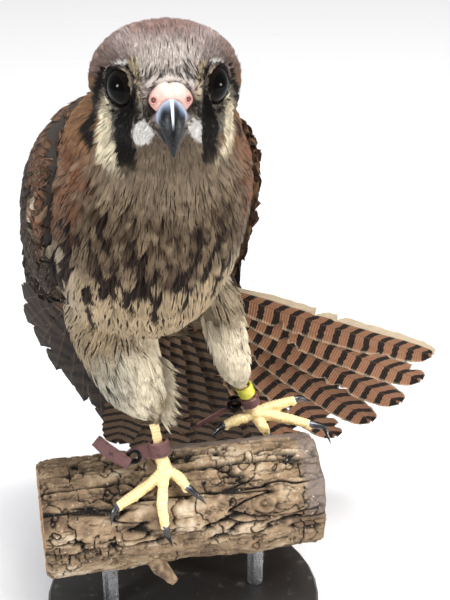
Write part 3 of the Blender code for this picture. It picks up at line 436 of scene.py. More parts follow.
bark = mottled_finish("bark_skin", 0.9, None, BARK_PALE, 900.0, 0.12, 0.0005)
wood = mottled_finish("cut_wood", 0.8, None, WOOD_DARK, 700.0, 0.3, 0.0003)
all_faces = [tuple(face) for block in log_faces for face in block]
all_faces += [tuple(np.asarray(face) + start) for face in twig_faces]
log = add_mesh("log_bark", np.vstack(log_points + [twig_points]), all_faces, [bark, wood], True,
               np.concatenate(face_kinds + [np.zeros(len(twig_faces))]))
add_colours(log, "shade", np.vstack(log_shades + [twig_shade]))
place_piece(log, "bark", "perch_log")


# The skin is one closed form over head, neck, trunk and both thighs, drawn in below the outline by
# the depth of the feathers that grow on it. It carries the same markings as they do.
BETWEEN_EYES = np.array((0.3, -51.5, 172.0))
HEAD_LEFT = np.array((0.994, 0.105, 0.0))
HEAD_FORWARD = np.array((0.105, -0.994, 0.0))
BODY_LEFT = np.array((0.971, 0.239, 0.0))
BODY_FRONT = np.array((0.239, -0.971, 0.0))
FLESH = ("head", "neck", "torso", "thigh_left", "thigh_right")
# The skin's darkening factor is painted shade, as the skin lies under the coat.
SKIN_VOXEL, SKIN_PAINTED_SHADE = 1.1, 0.75
BODY_DEPTH, LEG_DEPTH = 2.6, 0.5
# Each row: x, y, z of the middle, then half the width and half the depth, from throat to tail root.
TRUNK = (
    (-0.5, -42, 166, 17, 15.5),
    (-1.5, -39.5, 158, 22.5, 19.5),
    (-3.5, -34, 149, 27.5, 24.5),
    (-6, -27, 138, 31, 28),
    (-8.5, -19.5, 125, 32, 29.5),
    (-10.5, -10, 109, 31, 29),
    (-12, 1, 95, 27, 26),
    (-13, 11, 86, 20.5, 20),
    (-14, 19, 80.5, 15, 13.5),
    (-14.5, 26, 76, 11.5, 8.5),
)
# Each row: x, y, z and radius, from the hip to the ankle.
THIGHS = {
    "right": ((-24, 4, 92, 16), (-22, -2, 76, 15.6), (-17, -6.5, 62.5, 12.8),
              (-13, -7.2, 53.5, 10.2), (-10.5, -6.2, 46, 6), (-9.2, -5.6, 41.5, 2.8)),
    "left": ((7, 8.5, 92, 11), (13.8, 8, 74, 9), (16.8, 10.5, 60, 7.4),
             (19.3, 15.5, 47, 5), (20.9, 19.8, 39.5, 2.6)),
}


def head_place(forward, left, up):
    """A point from how far forward, left and up it lies from between the eyes."""
    return (BETWEEN_EYES + np.multiply.outer(forward, HEAD_FORWARD) + np.multiply.outer(left, HEAD_LEFT)
            + np.multiply.outer(up, UP))


def in_head(points):
    """Forward, left and up of points from between the eyes."""
    off = np.asarray(points) - BETWEEN_EYES
    return off @ HEAD_FORWARD, off @ HEAD_LEFT, off[:, 2]


def headness(points):
    """1 on the head, 0 below it, blending over the top of the neck."""
    off = np.asarray(points) - np.array((-1.0, -40.5, 152.0))
    return smooth_step(off @ unit((0.02, -0.25, 0.97)), -4.0, 4.0)


def along_line(points, rows):
    """For points near a limb: its direction there, how far outside it they are, and how far down."""
    line = spline(rows, 60)
    middles, radii = line[:, :3], line[:, 3]
    found = [np.argmin(np.linalg.norm(middles - p, axis=1) - radii) for p in points]
    directions = unit(np.gradient(middles, axis=0))
    outside = np.linalg.norm(middles[found] - points, axis=1) - radii[found]
    return directions[found], outside, np.array(found) / 59.0


def coat_depth(points):
    """How deep the feathers are, in millimetres: thin round the bill and eyes, deep on the body."""
    forward = in_head(points)[0]
    on_head = headness(points)
    face = 0.35 + 0.75 * smooth_step(12.0 - forward, 0.0, 16.0)
    low_leg = smooth_step(points[:, 2], 42.0, 66.0)
    return face * on_head + (1 - on_head) * (LEG_DEPTH + (BODY_DEPTH - LEG_DEPTH) * low_leg)


def vertex_values(obj, what):
    found = np.empty(len(obj.data.vertices) * 3, np.float32)
    obj.data.vertices.foreach_get(what, found)
    return found.reshape(-1, 3).astype(float)


def points_of(obj):
    return vertex_values(obj, "co") / MM - (0, 0, LIFT)


def grown_together(name, points, faces, voxel, rounds):
    """One even closed skin over overlapping closed forms, smoothed and with its own unwrap."""
    mesh = bpy.data.meshes.new(name)
    mesh.from_pydata([tuple(p) for p in metres(points)], [], faces)
    made = bpy.data.objects.new(name, mesh)
    bpy.context.scene.collection.objects.link(made)
    remesh = made.modifiers.new("remesh", "REMESH")
    remesh.mode = "VOXEL"
    remesh.voxel_size = voxel * MM
    even = made.modifiers.new("even", "SMOOTH")
    even.factor = 0.5
    even.iterations = rounds
    bpy.context.view_layer.update()
    evaluated = made.evaluated_get(bpy.context.evaluated_depsgraph_get())
    made.data = bpy.data.meshes.new_from_object(evaluated)
    made.modifiers.clear()
    made.data.shade_smooth()
    bpy.context.view_layer.objects.active = made
    made.select_set(True)
    bpy.ops.object.mode_set(mode="EDIT")
    bpy.ops.mesh.select_all(action="SELECT")
    bpy.ops.uv.smart_project(angle_limit=1.2, island_margin=0.002)
    bpy.ops.object.mode_set(mode="OBJECT")
    made.select_set(False)
    made.data.uv_layers[0].name = "OFBake"
    return made


def move_points(obj, points):
    obj.data.vertices.foreach_set("co", metres(points).astype(np.float32).ravel())
    obj.data.update()


flesh = [(points_of(nodes[name]), [tuple(face.vertices) for face in nodes[name].data.polygons])
         for name in FLESH]
skin = grown_together("skin", *joined(flesh), SKIN_VOXEL, 8)
outline = points_of(skin)
move_points(skin, outline - vertex_values(skin, "normal") * coat_depth(outline)[:, None])


# The markings are those of a female American kestrel: a blue-grey crown with a rufous cap, two
# black stripes on a pale face, a streaked buff breast, and a rufous back barred with black. Each
# stripe of the face is a stroke: its colour, then forward, side, up and half width along it.
CROWN_GREY = (170, 154, 150)
CROWN_EDGE = (118, 96, 86)
FACE_GREY = (132, 124, 112)
CAP_RUFOUS = (128, 84, 68)
FOREHEAD_GREY = (220, 209, 200)
BROW_BUFF = (200, 182, 154)
CHEEK_WHITE = (255, 252, 246)
CREAM = (236, 224, 194)
MOUSTACHE_BLACK = (16, 15, 15)
EAR_DARK = (24, 21, 19)
# The throat's buff, darkened by painted shade under the chin.
THROAT_BUFF_PAINTED_SHADE = (132, 116, 96)
NAPE_BROWN = (126, 94, 66)
SHOULDER_RUFOUS = (122, 78, 52)
BREAST_BROWN = (52, 36, 26)
BREAST_PALE = (162, 143, 114)
STREAK_BROWN = (27, 17, 11)
BELLY_BUFF = (112, 98, 76)
FLANK_GREY = (146, 138, 122)
THIGH_CREAM = (222, 210, 184)
THIGH_GREY = (160, 154, 138)
BACK_RUFOUS = (126, 86, 58)
BAR_BLACK = (34, 27, 23)
FACE_STROKES = (
    (BROW_BUFF, ((13, -8.5, 1.4, 1.5), (11.5, -8.9, 4.1, 1.9), (10, -9, 6.7, 1.9), (7.7, -9.3, 9.1, 1.4))),
    (BROW_BUFF, ((14.4, 7.1, 1.4, 1.2), (12.2, 8.3, 3.7, 1.6), (10.4, 8.8, 6.3, 1.9), (8.7, 9, 8.3, 1.2))),
    (CREAM, ((1.8, -17.1, -0.5, 1), (3.1, -16.5, -3.1, 1.9), (2.3, -16.9, -7.1, 2.6),
             (-1.5, -17.6, -12.2, 3), (-0.5, -18, -16, 3.3), (0.3, -17.7, -19.9, 3.3),
             (1.5, -16.3, -23.8, 3), (2.1, -14.3, -27.1, 2))),
    (CREAM, ((1.9, 15.2, -0.7, 1), (3.7, 16.1, -3.4, 2), (2, 16.8, -8.1, 2.6), (-4.4, 17.8, -14.5, 3),
             (-3.8, 17.5, -18.6, 3), (-2.4, 16.3, -22.3, 3), (-0.9, 13.9, -26, 2.4),
             (-0.2, 11.9, -29.1, 1.5))),
    (EAR_DARK, ((1.5, -17.6, 5, 1.2), (0.1, -18.2, 2.5, 1.5), (-1.3, -19.1, -1.1, 2),
                (-4.8, -20.4, -6.5, 2.2), (-7.6, -21.6, -10.9, 3.3), (-7.2, -22.3, -13.7, 3.6),
                (-5, -22.2, -16.3, 2.9))),
    (EAR_DARK, ((1.5, 17.6, 4.5, 1.1), (0.2, 18.2, 0.8, 1.3), (-1.8, 19.6, -3.2, 1.7), (-6, 21.2, -9, 2.3),
                (-10, 22.6, -15, 3.2), (-13.5, 23.1, -20.2, 2.4))),
    (EAR_DARK, ((-20, -9, -2, 3), (-22.5, -9, -8, 3.6))),
    (EAR_DARK, ((-20, 9, -2, 3), (-22.5, 9, -8, 3.6))),
    (CHEEK_WHITE, ((12.9, -6.6, -6.2, 1.6), (12, -7.1, -8.2, 2.6), (9.6, -7.5, -10.8, 2.8),
                   (7.1, -8.2, -13.4, 1.9))),
    (CHEEK_WHITE, ((14.4, 5.5, -5.9, 1.4), (10.9, 7.3, -9, 2.6), (7.4, 9, -12, 2.3),
                   (4.4, 10, -14.6, 1.2))),
    (MOUSTACHE_BLACK, ((11.1, -10.3, -0.9, 2), (9.8, -11.3, -3.9, 2.7), (7.8, -12.2, -8.1, 3),
                       (3.3, -12.3, -14, 3.1), (3.4, -11.9, -18.4, 3.1), (3.2, -11.8, -21.9, 2.8),
                       (3.4, -11.6, -25, 1.6))),
    (MOUSTACHE_BLACK, ((12.6, 9, -1.1, 1.8), (11.3, 9.9, -4.2, 2.5), (8.9, 10.6, -8.5, 2.9),
                       (3.6, 11.4, -14.3, 3), (1.6, 11.8, -19.2, 2.9), (1.1, 11.8, -22.2, 2.4),
                       (0.9, 11.6, -25, 1.4))),
    (MOUSTACHE_BLACK, ((7.4, -10.6, 8, 0.7), (10.6, -9.2, 5, 0.8), (11.6, -9.4, 0.5, 1.3),
                       (9, -13.5, -4.6, 1.5), (4.4, -16.4, -2.6, 1.2), (2.9, -17, 3.4, 1.7),
                       (4.4, -14.9, 6.6, 1))),
    (MOUSTACHE_BLACK, ((7.4, 10.6, 8, 0.7), (10.6, 9.2, 5, 0.8), (11.8, 9, 0.5, 1.2), (9.4, 13, -4.8, 1.4),
                       (4.4, 16.4, -2.6, 1.2), (2.9, 17, 3.4, 1.6), (4.4, 14.9, 6.6, 1))),
    (CHEEK_WHITE, ((7.2, -11, 8.6, 0.5), (5.1, -13.3, 8.2, 0.8), (4.1, -15.1, 7, 0.7))),
    (CHEEK_WHITE, ((7.2, 10.9, 8.6, 0.4), (5.3, 13.3, 7.9, 0.8), (3.8, 15.3, 6.4, 0.6))),
)
EYE_PLACE = (3.8, 9.7, 1.3)
STREAK_SPACING = 8.6
STREAK_LENGTH = 25.0
WHITE_PATCH = ((-36, -39.2, 141.5, 0.8), (-37.2, -39.1, 137.8, 1.1), (-38.2, -38, 133.2, 1),
               (-39.6, -35.8, 127.2, 0.7))
# Streaks of the breast and flanks: x, y, z and half width along each.
STREAKS = (
    ((-31.8, -41.6, 127, 1.5), (-31.3, -40, 119.5, 2), (-33.1, -33.2, 108.2, 2.2), (-37.5, -18, 93, 2),
     (-37.5, -5.6, 81.5, 1)),
    ((-36.7, -7, 81.1, 1), (-34, -11.7, 74.5, 1), (-30.3, -13.5, 67.3, 1), (-27.6, -14.1, 61.7, 0.8)),
    ((-23.1, -46.9, 122.1, 1.2), (-21.6, -44.8, 115.4, 1.8), (-19.6, -42.1, 107.7, 2.2),
     (-18.7, -36.8, 98.5, 2), (-18.4, -27.3, 86.6, 0.8)),
    ((-25.9, -38.2, 106.4, 1), (-25.9, -33.3, 98.3, 1.5), (-26.6, -19.8, 84.3, 1.8),
     (-26.4, -16.6, 75.4, 1), (-23.4, -18, 68.5, 0.8)),
    ((-11.6, -51.7, 126.4, 1.5), (-10.3, -49.7, 120.2, 1.8), (-8.9, -47.5, 115.2, 1.2)),
    ((-15.3, -44.4, 110.5, 1.2), (-13.2, -41.2, 104, 1.8), (-13, -35.7, 95.2, 1.2)),
    ((-6.7, -49.9, 121, 1.2), (-8.1, -45.1, 110.8, 1.5), (-9.9, -41.4, 104.1, 1.2)),
    ((-6.4, -41.5, 104.8, 1.2), (-5.3, -37.1, 97.9, 1.5), (-7.6, -28.7, 87.3, 1),
     (-10.6, -17.9, 76.6, 0.8)),
    ((-0.7, -47.4, 117.3, 1), (-4.6, -45.8, 112.7, 1.2), (-8.2, -44, 108.6, 1)),
    ((9.8, -45.1, 123.4, 1.5), (6.8, -43.2, 115.3, 1.5), (3.2, -40.4, 107.5, 1.5), (-0.8, -37.3, 100.4, 1)),
    ((5.7, -37, 104.5, 1), (3.8, -34.1, 98.4, 1), (1.8, -31.7, 94.4, 0.8)),
    ((5.4, -28.6, 93.8, 0.6), (1.1, -28.8, 90.9, 0.6), (-2.7, -27.2, 87.2, 0.6)),
    ((15.4, -41, 124.6, 1.2), (11.9, -39.4, 115.4, 1.5), (9.8, -34.5, 105.6, 1.2), (7.9, -31.2, 98.9, 1)),
    ((16.3, -31.4, 111.6, 1.2), (13.9, -28, 103.4, 1.5), (11.4, -22.7, 94.6, 1)),
    ((17.7, -32.8, 116.1, 0.8), (18.4, -24, 104, 1), (18, -14, 92, 1)),
    ((-27.6, -45, 125.5, 1.8), (-26.1, -45.2, 121.9, 1.8)),
    ((-19.6, -50.7, 129.9, 1.2), (-17.4, -48.5, 119.7, 1.2), (-16.2, -44.2, 110.4, 1)),
)


def trunk_frame(place):
    """Middle, left and back directions and half sizes at a place from 0, throat, to 1, tail root."""
    rows = spline(TRUNK, 91)
    at = place * 90
    i = min(int(at), 89)
    row = rows[i] + (rows[i + 1] - rows[i]) * (at - i)
    down = unit(rows[min(i + 3, 90), :3] - rows[max(i - 2, 0), :3])
    left = unit(BODY_LEFT - np.dot(BODY_LEFT, down) * down)
    return row[:3], left, np.cross(left, down), row[3], row[4]


def dots(first, second):
    """The product of each row of one with the same row of another."""
    return np.einsum("ij,ij->i", first, second)


def lengths_along(line):
    """How far along a line each of its points lies."""
    return np.concatenate(([0], np.cumsum(np.linalg.norm(np.diff(line, axis=0), axis=1))))


def round_trunk(points):
    """How far down the trunk points lie, in millimetres, and their turn round it from the front."""
    line = spline(TRUNK, 60)[:, :3]
    lengths = lengths_along(line)
    down = unit(np.gradient(line, axis=0))
    left = unit(BODY_LEFT - (down @ BODY_LEFT)[:, None] * down)
    front = np.cross(down, left)
    points = np.asarray(points)
    found = np.array([np.argmin(np.abs(dots(p - line, down)) + 0.4 * np.linalg.norm(p - line, axis=1))
                      for p in points])
    off = points - line[found]
    return lengths[found], np.arctan2(dots(off, left[found]), dots(off, front[found]))


def evenly(colour, points):
    """One colour at each of some points."""
    return np.tile(linear(colour), (len(points), 1))


def toward(colours, colour, share):
    """Colours moved towards one colour by a share at each point."""
    target = linear(colour) if np.ndim(colour) == 1 else colour
    return colours + (target - colours) * np.clip(share, 0, 1)[:, None]


def stroke_mask(points, stroke):
    """1 inside a stroke on the head and 0 outside it, with a feathery edge."""
    line = spline(stroke, 24)
    middles = head_place(line[:, 0], line[:, 1], line[:, 2])
    reach = np.linalg.norm(points[:, None] - middles[None], axis=2) - line[None, :, 3]
    return 1 - smooth_step(reach.min(axis=1) + 0.4 * soft_noise(points, 1.4, 41), -0.3, 0.35)


def mask_in_space(points, stroke):
    """1 inside a stroke given by x, y, z and half width, with a ragged edge."""
    line = spline(stroke, 24)
    reach = np.linalg.norm(points[:, None] - line[None, :, :3], axis=2) - line[None, :, 3]
    return 1 - smooth_step(reach.min(axis=1) + 0.45 * soft_noise(points, 2.0, 42), -0.5, 0.6)


def head_colours(points):
    forward, left, up = in_head(points)
    wave = soft_noise(points * (1.4, 1.4, 0.5), 3.0, 44)
    face = smooth_step(forward + wave, -5.0, 1.0) * (1 - smooth_step(up, 2.0, 5.0))
    colours = toward(evenly(NAPE_BROWN, points), FACE_GREY, face)
    colours = toward(colours, CROWN_GREY, smooth_step(up + 0.15 * forward + wave, 1.0, 6.0))
    cap = 1 - smooth_step(np.hypot(forward + 9.5, left * 0.95) + 2.2 * wave, 7.0, 12.5)
    colours = toward(colours, CAP_RUFOUS, 0.5 * cap * (up > 5))
    edge = smooth_step(np.abs(left) + 1.5 * wave, 11.0, 17.0) * (up > 2)
    colours = toward(colours, CROWN_EDGE, 0.8 * edge)
    front = smooth_step(forward + 1.5 * wave, 1.0, 8.0) * smooth_step(up, 2.0, 6.0)
    colours = toward(colours, FOREHEAD_GREY, 0.85 * front * (1 - smooth_step(np.abs(left), 7.0, 11.0)))
    under = 1 - smooth_step(up + 1.5 * wave, -9.0, -5.0)
    throat = under * (1 - smooth_step(np.abs(left), 11.0, 15.0)) * smooth_step(forward, -14, -6)
    colours = toward(colours, THROAT_BUFF_PAINTED_SHADE, throat)
    for colour, stroke in FACE_STROKES:
        colours = toward(colours, colour, stroke_mask(points, stroke))
    return colours


def body_colours(points):
    """Colours of the trunk, and how much of a dark streak or of black bars each point has."""
    down, turn = round_trunk(points)
    wave = soft_noise(points, 7.0, 51)
    fine = soft_noise(points, 2.4, 52)
    front = 1 - smooth_step(np.abs(turn) + 0.10 * wave, 1.55, 1.95)
    belly = smooth_step(down, 82.0, 104.0)
    colours = toward(evenly(BREAST_PALE, points), BELLY_BUFF, belly)
    colours = toward(colours, FLANK_GREY, 0.7 * smooth_step(np.abs(turn), 0.7, 1.2) * (1 - belly))
    upper = 1 - smooth_step(down + 4 * wave, 46.0, 60.0)
    colours = toward(colours, BREAST_BROWN, upper * (0.75 + 0.4 * fine))
    colours = toward(colours, THROAT_BUFF_PAINTED_SHADE, 1 - smooth_step(down + 3 * wave + 5 * np.abs(turn), 18.0, 28.0))
    side_patch = smooth_step(np.abs(turn), 0.85, 1.25) * (1 - smooth_step(down + 5 * wave, 36.0, 50.0))
    colours = toward(colours, SHOULDER_RUFOUS, 0.8 * side_patch * (0.7 + 0.6 * fine))
    colours = toward(colours, BACK_RUFOUS, 1 - front)
    across = turn * 29.0 / STREAK_SPACING + 0.22 * wave + 0.3
    column = np.round(across)
    phase = scatter_value(np.stack((column.astype(np.int64) + 40,) * 3, -1), 7)
    ahead = (down / STREAK_LENGTH + phase * 3.0 + 0.12 * fine) % 1.0
    body_of_streak = np.sin(np.pi * np.clip(ahead / 0.72, 0, 1)) ** 0.7
    streak = 1 - smooth_step(np.abs(across - column) - 0.30 * body_of_streak + 0.07 * fine, -0.05, 0.05)
    streak *= (ahead < 0.72) * smooth_step(down, 30.0, 52.0) * (1 - smooth_step(down, 92.0, 106.0)) * front
    streak *= smooth_step(np.abs(turn), 1.0, 1.3)
    for stroke in STREAKS:
        streak = np.maximum(streak, mask_in_space(points, stroke))
    return colours, streak, 1 - front


def plumage(points):
    """Colour of the coat, and its share of streak and of bars, at points of the skin."""
    points = np.asarray(points)
    on_head = headness(points)
    colours, streak, bars = body_colours(points)
    colours = toward(colours, head_colours(points), on_head)
    for side in ("right", "left"):
        _, outside, place = along_line(points, THIGHS[side])
        near = (1 - smooth_step(outside, 1.0, 5.0)) * smooth_step(place, 0.22, 0.42)
        inner = smooth_step((points @ BODY_LEFT) + 3 * soft_noise(points, 5.0, 61), -24.0, -14.0)
        pale = inner if side == "right" else np.ones(len(points))
        colours = toward(colours, toward(evenly(THIGH_GREY, points), THIGH_CREAM, pale), near)
        streak = streak * (1 - near)
        bars = bars * (1 - near)
    return colours, streak * (1 - on_head), bars * (1 - on_head)


def eye_middle(side):
    """The middle of an eye. side is 1 on the left and -1 on the right."""
    forward, left, up = EYE_PLACE
    return head_place(forward, side * left, up)


def laid_flat(ways, normals):
    """Directions turned into the plane of the ground they lie on."""
    return unit(ways - dots(ways, normals)[:, None] * normals)


def lie_of_coat(points, normals):
    """Which way the feathers point: back from the bill, then down the trunk and down each thigh."""
    bill = head_place(17.0, 0.0, 1.0)
    up = in_head(points)[2]
    swept = unit(points - bill)
    swept = unit(swept + np.outer(smooth_step(-up, 2.0, 14.0) * 0.9, (0.0, 0.0, -1.0)))
    trunk, outside, _ = along_line(points, [(x, y, z, 0.5 * (w + d)) for x, y, z, w, d in TRUNK])
    body, best = trunk, outside
    for side in ("right", "left"):
        limb, off, place = along_line(points, THIGHS[side])
        share = smooth_step(best - off + 6 * (smooth_step(place, 0.1, 0.5) - 0.5), -3.0, 4.0)[:, None]
        body = unit(body * (1 - share) + limb * share)
        best = np.minimum(best, off)
    for side in (1, -1):
        off = points - eye_middle(side)
        off = off - dots(off, normals)[:, None] * normals
        away, near = unit(off), 1 - smooth_step(np.linalg.norm(off, axis=1), 6.5, 10.5)
        inward = np.minimum(dots(swept, away), 0.0)
        swept = unit(swept + ((0.3 - inward) * near)[:, None] * away)
    share = headness(points)[:, None]
    return laid_flat(swept * share + body * (1 - share), normals)


skin_points = points_of(skin)
skin_colours, skin_streak, skin_bars = plumage(skin_points)
skin_colours = toward(skin_colours, STREAK_BROWN, 0.8 * skin_streak)
skin_colours = toward(skin_colours, BAR_BLACK, 0.35 * skin_bars)
# Painted shade: the skin's markings are darkened, as the skin lies in shade under the coat.
add_colours(skin, "shade", skin_colours * SKIN_PAINTED_SHADE)
skin_finish = mottled_finish("skin_under_feathers", 0.8, None, STREAK_BROWN, 1200.0, 0.15, 0.0003)
skin.data.materials.append(skin_finish)
place_piece(skin, "breast_feather", *FLESH)


# The coat is thousands of small feathers, each a thin vane with its tip split into barbs. They are
# rooted in the skin, follow the lie of the coat and overlap, and are smallest round the bill.
FEATHER_STEPS = 5
ROOT_SINK, RIDGE_HEIGHT, CUP_SHARE = 0.35, 0.10, 0.07
COAT_LIMIT = 190000
# How many feathers deep the coat lies, and how far from the middle of an eye it starts.
COVER, EYE_CLEAR = 7.0, 6.5
# Each kind: barbs at the tip, how far down the splits reach, and how wide the root is.
FEATHER_KINDS = {"tuft": (5, 0.34, 0.45), "contour": (7, 0.66, 0.35), "covert": (7, 0.88, 0.5)}


def comb_shape(kind, seed):
    """A feather's outline laid flat: along from 0 to 1, across from -1 to 1, height, and its faces."""
    barbs, split, root_width = FEATHER_KINDS[kind]
    draw = np.random.default_rng(seed)

    def rounded(at):
        return 1.0 - 0.24 * abs(at) ** 2.2

    rim = [(0.0, -root_width, 0.0), (0.0, root_width, 0.0)]
    widest = 0.45
    rim += [(widest * 0.6, 0.86, 0.0), (widest, 1.0, 0.0)]
    edges = np.linspace(1.0, -1.0, barbs + 1)
    for n in range(barbs):
        middle = (edges[n] + edges[n + 1]) / 2
        tip = rounded(middle) - draw.uniform(0, 0.10) - (0.04 if n % 2 else 0.0)
        rim.append((tip, middle * 0.9 + draw.uniform(-0.05, 0.05), 0.0))
        if n < barbs - 1:
            notch = (split + (1 - split) * 0.25 * draw.uniform(0, 1)) * rounded(edges[n + 1])
            rim.append((notch, edges[n + 1] * 0.93 + draw.uniform(-0.03, 0.03), 0.0))
    rim += [(widest, -1.0, 0.0), (widest * 0.6, -0.86, 0.0)]
    ridge = [(0.12, 0.0, 0.6), (min(0.45, split * 0.8), 0.0, 1.0)]
    for n in range(barbs):
        middle = (edges[n] + edges[n + 1]) / 2
        foot = (split + 0.35 * (1 - split)) * rounded(middle)
        ridge.append((foot, middle * 0.92, 0.8))
    count = len(rim)
    loop = [(n, (n + 1) % count) for n in range(count)]
    points = np.array(rim + ridge + [(along, across, 0.0) for along, across, _ in ridge])
    upper = count + len(ridge)
    found = delaunay_2d_cdt([Vector((p[1], p[0])) for p in points[:upper]], loop, [], 1, 1e-6)
    origin = [ids[0] for ids in found[3]]
    faces = []
    for face in found[2]:
        a, b, c = (origin[n] for n in face)
        area = (points[b, 1] - points[a, 1]) * (points[c, 0] - points[a, 0]) - (
            points[c, 1] - points[a, 1]) * (points[b, 0] - points[a, 0])
        b, c = (b, c) if area > 0 else (c, b)
        faces.append((a, b, c))
        faces.append(tuple(n + len(ridge) if n >= count else n for n in (a, c, b)))
    return points, np.array(faces)


SHAPES = {kind: [comb_shape(kind, 100 + n) for n in range(5)] for kind in FEATHER_KINDS}


def tree_of(points, faces):
    return BVHTree.FromPolygons([Vector(p) for p in points], [tuple(face) for face in faces])


def bend_down(ground, roots, lies, lengths):
    """Each feather's middle line as it follows the ground below it, with the ground's normals."""
    places = np.empty((len(roots), FEATHER_STEPS, 3))
    outs = np.empty_like(places)
    for n, (root, lie, length) in enumerate(zip(roots, lies, lengths)):
        step = length / (FEATHER_STEPS - 1)
        at, way = Vector(root), Vector(lie)
        for s in range(FEATHER_STEPS):
            near, out, _, _ = ground.find_nearest(at)
            places[n, s], outs[n, s] = near, out
            way = (way - way.dot(out) * out).normalized()
            at = near + way * step
    outs[:, 1:] = unit(0.5 * outs[:, 1:] + 0.5 * outs[:, :-1])
    return places, unit(outs)


# How many bars a mark's alpha of 1 stands for, and how wide a patch of the bake map a feather takes.
MOST_BARS, BAKE_PATCH = 20, 0.003
HEAP_PARTS = ("points", "faces", "vane", "bake", "tint", "mark", "pattern")


def new_heap():
    return {key: [] for key in (*HEAP_PARTS, "count")}


def add_to(heap, points, faces, vane, bake, tint, mark, pattern):
    """Adds one batch of feathers: every array has a row for each point."""
    faces = faces + sum(heap["count"])
    for key, value in zip(HEAP_PARTS, (points, faces, vane, bake, tint, mark, pattern)):
        heap[key].append(value)
    heap["count"].append(len(points))


def lay_feathers(heap, ground, kind, roots, lies, bakes, lengths, widths, heights, looks, draw):
    """Bends a feather over the ground at each root. heights are how far its tip stands off."""
    places, outs = bend_down(ground, roots, lies, lengths)
    ways = unit(np.gradient(places, axis=1))
    sides = unit(np.cross(ways, outs))
    pick = draw.integers(0, len(SHAPES[kind]), len(roots))
    for shape_number, (shape, faces) in enumerate(SHAPES[kind]):
        chosen = np.flatnonzero(pick == shape_number)
        if not len(chosen):
            continue
        along, across, ridge = shape[:, 0], shape[:, 1], shape[:, 2]
        at = along * (FEATHER_STEPS - 1)
        low = np.minimum(at.astype(int), FEATHER_STEPS - 2)
        t = (at - low)[None, :, None]

        def between(rows):
            return rows[chosen][:, low] * (1 - t) + rows[chosen][:, low + 1] * t

        wide, high = widths[chosen][:, None], heights[chosen][:, None]
        rise = -ROOT_SINK + (high + ROOT_SINK) * (along**0.85)[None]
        rise = rise + ridge[None] * RIDGE_HEIGHT - CUP_SHARE * wide * 0.5 * (across**2)[None]
        points = between(places) + between(sides) * (across[None] * wide / 2)[..., None]
        points = points + between(outs) * rise[..., None]
        count, corners = len(chosen), len(shape)
        offsets = (np.arange(count) * corners)[:, None, None]
        local = np.stack((0.5 + 0.5 * across, along), -1)
        vane = np.tile(local, (count, 1, 1))
        bake = bakes[chosen][:, None] + (local - 0.5)[None] * BAKE_PATCH
        rows = {key: np.repeat(value[chosen], corners, axis=0) for key, value in looks.items()}
        add_to(heap, points.reshape(-1, 3), (faces[None] + offsets).reshape(-1, 3), vane.reshape(-1, 2),
               bake.reshape(-1, 2), rows["tint"], rows["mark"], rows["pattern"])


def make_coat(name, heap, finish, slot, *replaced):
    """One object from a heap of feathers, with its bake map, its vane map and its colours."""
    points, faces = np.vstack(heap["points"]), np.vstack(heap["faces"])
    made = add_mesh(name, points, faces, finish)
    for label, key in (("OFBake", "bake"), ("Vane", "vane")):
        layer = made.data.uv_layers.new(name=label)
        layer.data.foreach_set("uv", np.vstack(heap[key])[faces.ravel()].astype(np.float32).ravel())
    for key in ("tint", "mark", "pattern"):
        add_colours(made, key, np.vstack(heap[key]))
    return place_piece(made, slot, *replaced)


# Feather web: the vane's own colour with its shaft, painted shade along its slanting barbs, dark shaft
# streak, cross bars and pale rim, all from how far along and across the vane a point is.
SHAFT_BROWN = (92, 70, 52)
web, entry, leaving = new_group(
    "feather_web",
    {"Across": 0.5, "Along": 0.5, "Tint": None, "Mark": None, "Rim Colour": None, "Streak": 0.0,
     "Bars": 0.0, "Rim": 0.0, "Bar Count": 4.0, "Seed": 0.0, "Barb Count": 40.0, "Slant": 0.22,
     "Bar Share": 0.4, "Rim Start": 0.45, "Pale Edge": 0.0},
    {"Colour": "Color", "Height": "Float"})
given = entry.outputs


def times(first, second):
    return maths(web, "MULTIPLY", first, second)


def plus(first, second):
    return maths(web, "ADD", first, second)


def minus(first, second):
    return maths(web, "SUBTRACT", first, second)


across_web, along_web = given["Across"], given["Along"]
from_shaft = maths(web, "ABSOLUTE", maths(web, "MULTIPLY_ADD", across_web, 2.0, -1.0))
spot = add_node(web, "ShaderNodeCombineXYZ", {
    0: times(across_web, 5.0), 1: times(along_web, 3.0), 2: times(given["Seed"], 50.0)}).outputs[0]
ragged = add_node(web, "ShaderNodeTexNoise", {"Vector": spot, "Scale": 1.6, "Detail": 3.0}).outputs[0]
unsteady = minus(ragged, 0.5)
slant = minus(along_web, times(from_shaft, given["Slant"]))
barb_wave = maths(web, "SINE", times(slant, times(given["Barb Count"], math.tau)))
streak_reach = times(given["Streak"], ramp(web, along_web, 0.0, 0.7, 0.5, 1.0))
streak_edge = minus(plus(from_shaft, times(unsteady, 0.5)), streak_reach)
streak_mask = times(ramp(web, streak_edge, -0.06, 0.06, 1.0, 0.0), ramp(web, given["Streak"], 0.0, 0.05))
bar_wave = maths(web, "PINGPONG", plus(times(slant, given["Bar Count"]), times(unsteady, 0.35)), 0.5)
bar_edge = maths(web, "MULTIPLY_ADD", given["Bar Share"], -0.5, 0.5)
bar_mask = times(ramp(web, minus(bar_wave, bar_edge), -0.025, 0.025), given["Bars"])
rim_place = maths(web, "MAXIMUM", from_shaft, ramp(web, along_web, given["Rim Start"], 1.0))
rim_mask = times(ramp(web, plus(rim_place, times(unsteady, 0.2)), 0.84, 0.95), given["Rim"])
pale_side = ramp(web, plus(across_web, times(unsteady, 0.1)), 0.20, 0.27, 1.0, 0.0)
pale_mask = times(pale_side, given["Pale Edge"])
shaft_mask = ramp(web, from_shaft, 0.03, 0.07, 0.35, 0.0)
marked = mixed(web, maths(web, "MAXIMUM", streak_mask, bar_mask), given["Tint"], given["Mark"])
rimmed = mixed(web, maths(web, "MAXIMUM", rim_mask, pale_mask), marked, given["Rim Colour"])
